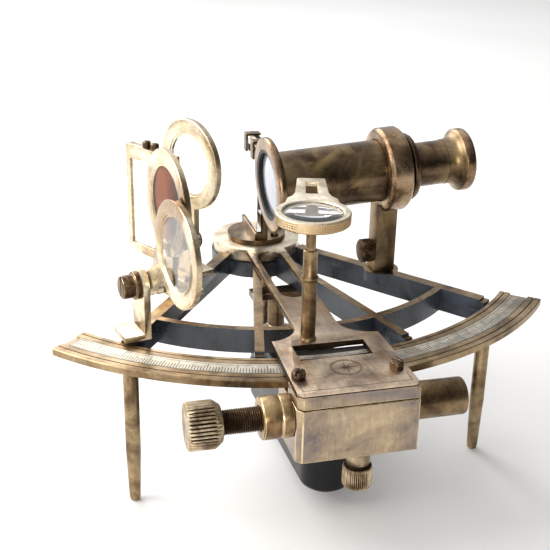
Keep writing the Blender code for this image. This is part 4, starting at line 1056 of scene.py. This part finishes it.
# ---------------- telescope
def make_telescope():
    """Post with its collar, the tube, the objective, and the sliding eyepiece."""
    inner = 0.0132 + GAP
    post = box((0.0404, 0.0494), (-0.0496, -0.0404), (RIB_TOP + GAP, 0.0315))
    band = turned([(inner, -0.0056), (0.016, -0.0056), (0.0168, -0.0054), (0.0174, -0.0048),
                   (0.018, -0.004), (0.018, 0.003), (0.0174, 0.004), (0.0168, 0.0046),
                   (0.016, 0.0048), (inner, 0.0048)], FINE, "X")
    band.data.transform(ROOT.inverted() @ SCOPE)
    fuse(post, band)
    # The collar above the post is in the lighter copper tone: painted highlight on a mostly brown collar.
    piece("telescope_post_collar", post, ROOT, "bronze copper", "frame_body", ["telescope_post"], 0.0004, 3,
          choose=lambda centre, normal: 1 if centre.z > 0.0316 else 0)
    screw = turned([(0.0, -0.006), (0.0038, -0.006), (0.0046, -0.0058), (0.0052, -0.0052),
                    (0.0052, -0.003), (0.0052, -0.0008), (0.0048, -0.0003), (0.0016, -0.0003),
                    (0.0016, 0.006), (0.0, 0.006)], 240, "X", ripple=knurl(30, 0.0004, (3, 4, 5)))
    place = Matrix.Translation(JOINTS["post_screw_turn"]["pos_m"])
    piece("post_screw_knurled", screw, place, "screw", "post_screw_body", ["post_screw"], smooth=50.0)
    sleeve = 0.0098
    tube_body = turned([(0.0122, -0.051), (0.0132, -0.051), (0.0132, 0.006), (0.0138, 0.0063),
                        (0.0144, 0.0066), (0.0146, 0.0072), (0.0144, 0.008), (0.0138, 0.009),
                        (0.0124, 0.0098), (0.0114, 0.01), (sleeve, 0.01), (sleeve, 0.004),
                        (0.0122, 0.004)], FINE, "X")
    piece("telescope_barrel", tube_body, SCOPE, "bronze", "frame_body", ["telescope_tube"])
    ring = turned([(0.0135, -0.0545), (0.015, -0.0548), (0.0186, -0.0548), (0.0196, -0.0545),
                   (0.02, -0.0538), (0.02, -0.0526), (0.0196, -0.0519), (0.0186, -0.0513),
                   (0.0118, -0.0513), (0.0118, -0.0517), (0.0135, -0.0517)], FINE, "X")
    piece("objective_rim", ring, SCOPE, "copper black", "frame_body", ["objective_ring"],
          choose=lambda c, n: 1 if c.yz.length < 0.0151 else 0)
    # The objective is opaque pale blue-grey: painted reflection.
    lens = turned([(0.0, -0.0541), (0.004, -0.054), (0.008, -0.0536), (0.011, -0.0531),
                   (0.0134, -0.0526), (0.0134, -0.052), (0.0, -0.052)], FINE, "X")
    piece("objective_glass", lens, SCOPE, "painted_lens_reflection", "frame_body", ["objective_lens"])
    draw = tube(0.0095, 0.0084, -0.011, 0.0242, 72, "X")
    piece("draw_tube_turned", draw, SCOPE, "bronze", "eyepiece_body", ["draw_tube"])
    cup = turned([(0.009, 0.0243), (0.0097, 0.0243), (0.0098, 0.0262), (0.0102, 0.0278), (0.011, 0.029),
                  (0.0121, 0.0299), (0.0132, 0.0305), (0.0135, 0.0309), (0.0135, 0.0338), (0.0133, 0.0345),
                  (0.0128, 0.035), (0.0116, 0.035), (0.0098, 0.0346), (0.009, 0.034)], FINE, "X")
    piece("eyecup_turned", cup, SCOPE, "bronze copper", "eyepiece_body", ["eyecup"],
          choose=lambda centre, normal: 1 if centre.x > 0.0306 else 0)
    # The eye lens is opaque pale blue-grey: painted reflection.
    eye = turned([(0.0, 0.0268), (0.0088, 0.0274), (0.0088, 0.0292), (0.005, 0.0296), (0.0, 0.0298)],
                 64, "X")
    piece("eye_lens_glass", eye, SCOPE, "painted_lens_reflection", "eyepiece_body", ["eye_lens"])


# ---------------- stage
def make_stage():
    """Pale floor, studio light and the camera."""
    shape = bmesh.new()
    bmesh.ops.create_grid(shape, x_segments=8, y_segments=8, size=3.0)
    floor = object_from(shape)
    floor.name = "floor"
    material, tree, shader, place = graph("floor_pale")
    cloud = noise(tree, place, 3.0, 3.0, 0.5)
    tree.links.new(ramp(tree, cloud, [(0.3, (0.8, 0.79, 0.77)), (0.7, (0.86, 0.85, 0.84))]),
                   shader.inputs["Base Color"])
    shader.inputs["Roughness"].default_value = 0.75
    floor.data.materials.append(material)

    world = bpy.data.worlds.new("studio")
    world.use_nodes = True
    nodes = world.node_tree.nodes
    links = world.node_tree.links
    coords = nodes.new("ShaderNodeTexCoord")
    across = nodes.new("ShaderNodeVectorMath")
    across.operation = "DOT_PRODUCT"
    across.inputs[1].default_value = (-0.72, 0.5, 0.48)
    links.new(coords.outputs["Generated"], across.inputs[0])
    gradient = nodes.new("ShaderNodeMapRange")
    gradient.interpolation_type = "SMOOTHSTEP"
    for socket, value in (("From Min", -0.65), ("From Max", 0.85), ("To Min", 0.06), ("To Max", 1.25)):
        gradient.inputs[socket].default_value = value
    links.new(across.outputs["Value"], gradient.inputs["Value"])
    links.new(gradient.outputs["Result"], nodes["Background"].inputs["Strength"])
    nodes["Background"].inputs["Color"].default_value = (0.97, 0.98, 1.0, 1.0)
    bpy.context.scene.world = world

    # name, place, target, size, power, colour
    lights = (
        ("key_left", (-0.8, 0.15, 0.6), (0.0, 0.0, 0.05), 0.6, 8.0, (1.0, 0.98, 0.95)),
        ("back_soft", (-0.4, 0.96, 0.7), (-0.25, 0.1, 0.0), 0.8, 9.0, (1.0, 1.0, 1.0)),
        ("front_fill", (-0.35, -0.9, 0.3), (0.0, -0.05, 0.02), 0.35, 2.6, (1.0, 0.95, 0.9)),
    )
    for name, spot, target, size, power, colour in lights:
        lamp = bpy.data.lights.new(name, "AREA")
        lamp.shape = "SQUARE"
        lamp.size = size
        lamp.energy = power
        lamp.color = colour
        thing = bpy.data.objects.new(name, lamp)
        thing.location = spot
        thing.rotation_euler = (Vector(target) - Vector(spot)).to_track_quat("-Z", "Y").to_euler()
        bpy.context.collection.objects.link(thing)

    turn = math.radians(-17.076)
    lift = math.radians(23.247)
    roll = math.radians(1.218)
    back = Vector((math.sin(turn) * math.cos(lift), -math.cos(turn) * math.cos(lift), math.sin(lift)))
    side = (-back).cross(Vector((0, 0, 1))).normalized()
    up = side.cross(-back)
    right = math.cos(roll) * side + math.sin(roll) * up
    over = -math.sin(roll) * side + math.cos(roll) * up
    lens = bpy.data.cameras.new("camera")
    lens.lens = 69.59
    lens.sensor_width = 36.0
    lens.clip_start = 0.01
    camera = bpy.data.objects.new("camera", lens)
    spot = PIVOT + Vector((-0.12857, -0.45001, 0.18434))
    camera.matrix_world = Matrix.Translation(spot) @ Matrix((right, over, back)).transposed().to_4x4()
    bpy.context.collection.objects.link(camera)
    bpy.context.scene.camera = camera
    bpy.context.scene.view_settings.view_transform = "Standard"


make_frame()
make_limb()
make_legs()
make_handle()
make_index_arm()
make_engraving()
make_box()
make_tangent()
make_clamp_screw()
make_magnifier()
make_index_mirror()
make_horizon()
make_shades()
make_telescope()
for node, look in (("pivot_bush", "brass"), ("pivot_nut", "bronze"), ("pivot_shaft", "steel"),
                   ("clamp_shoe", "brass"), ("spring_plunger", "steel"), ("clamp_pad", "bronze"),
                   ("return_spring", "steel")):
    keep(node, look)
make_stage()
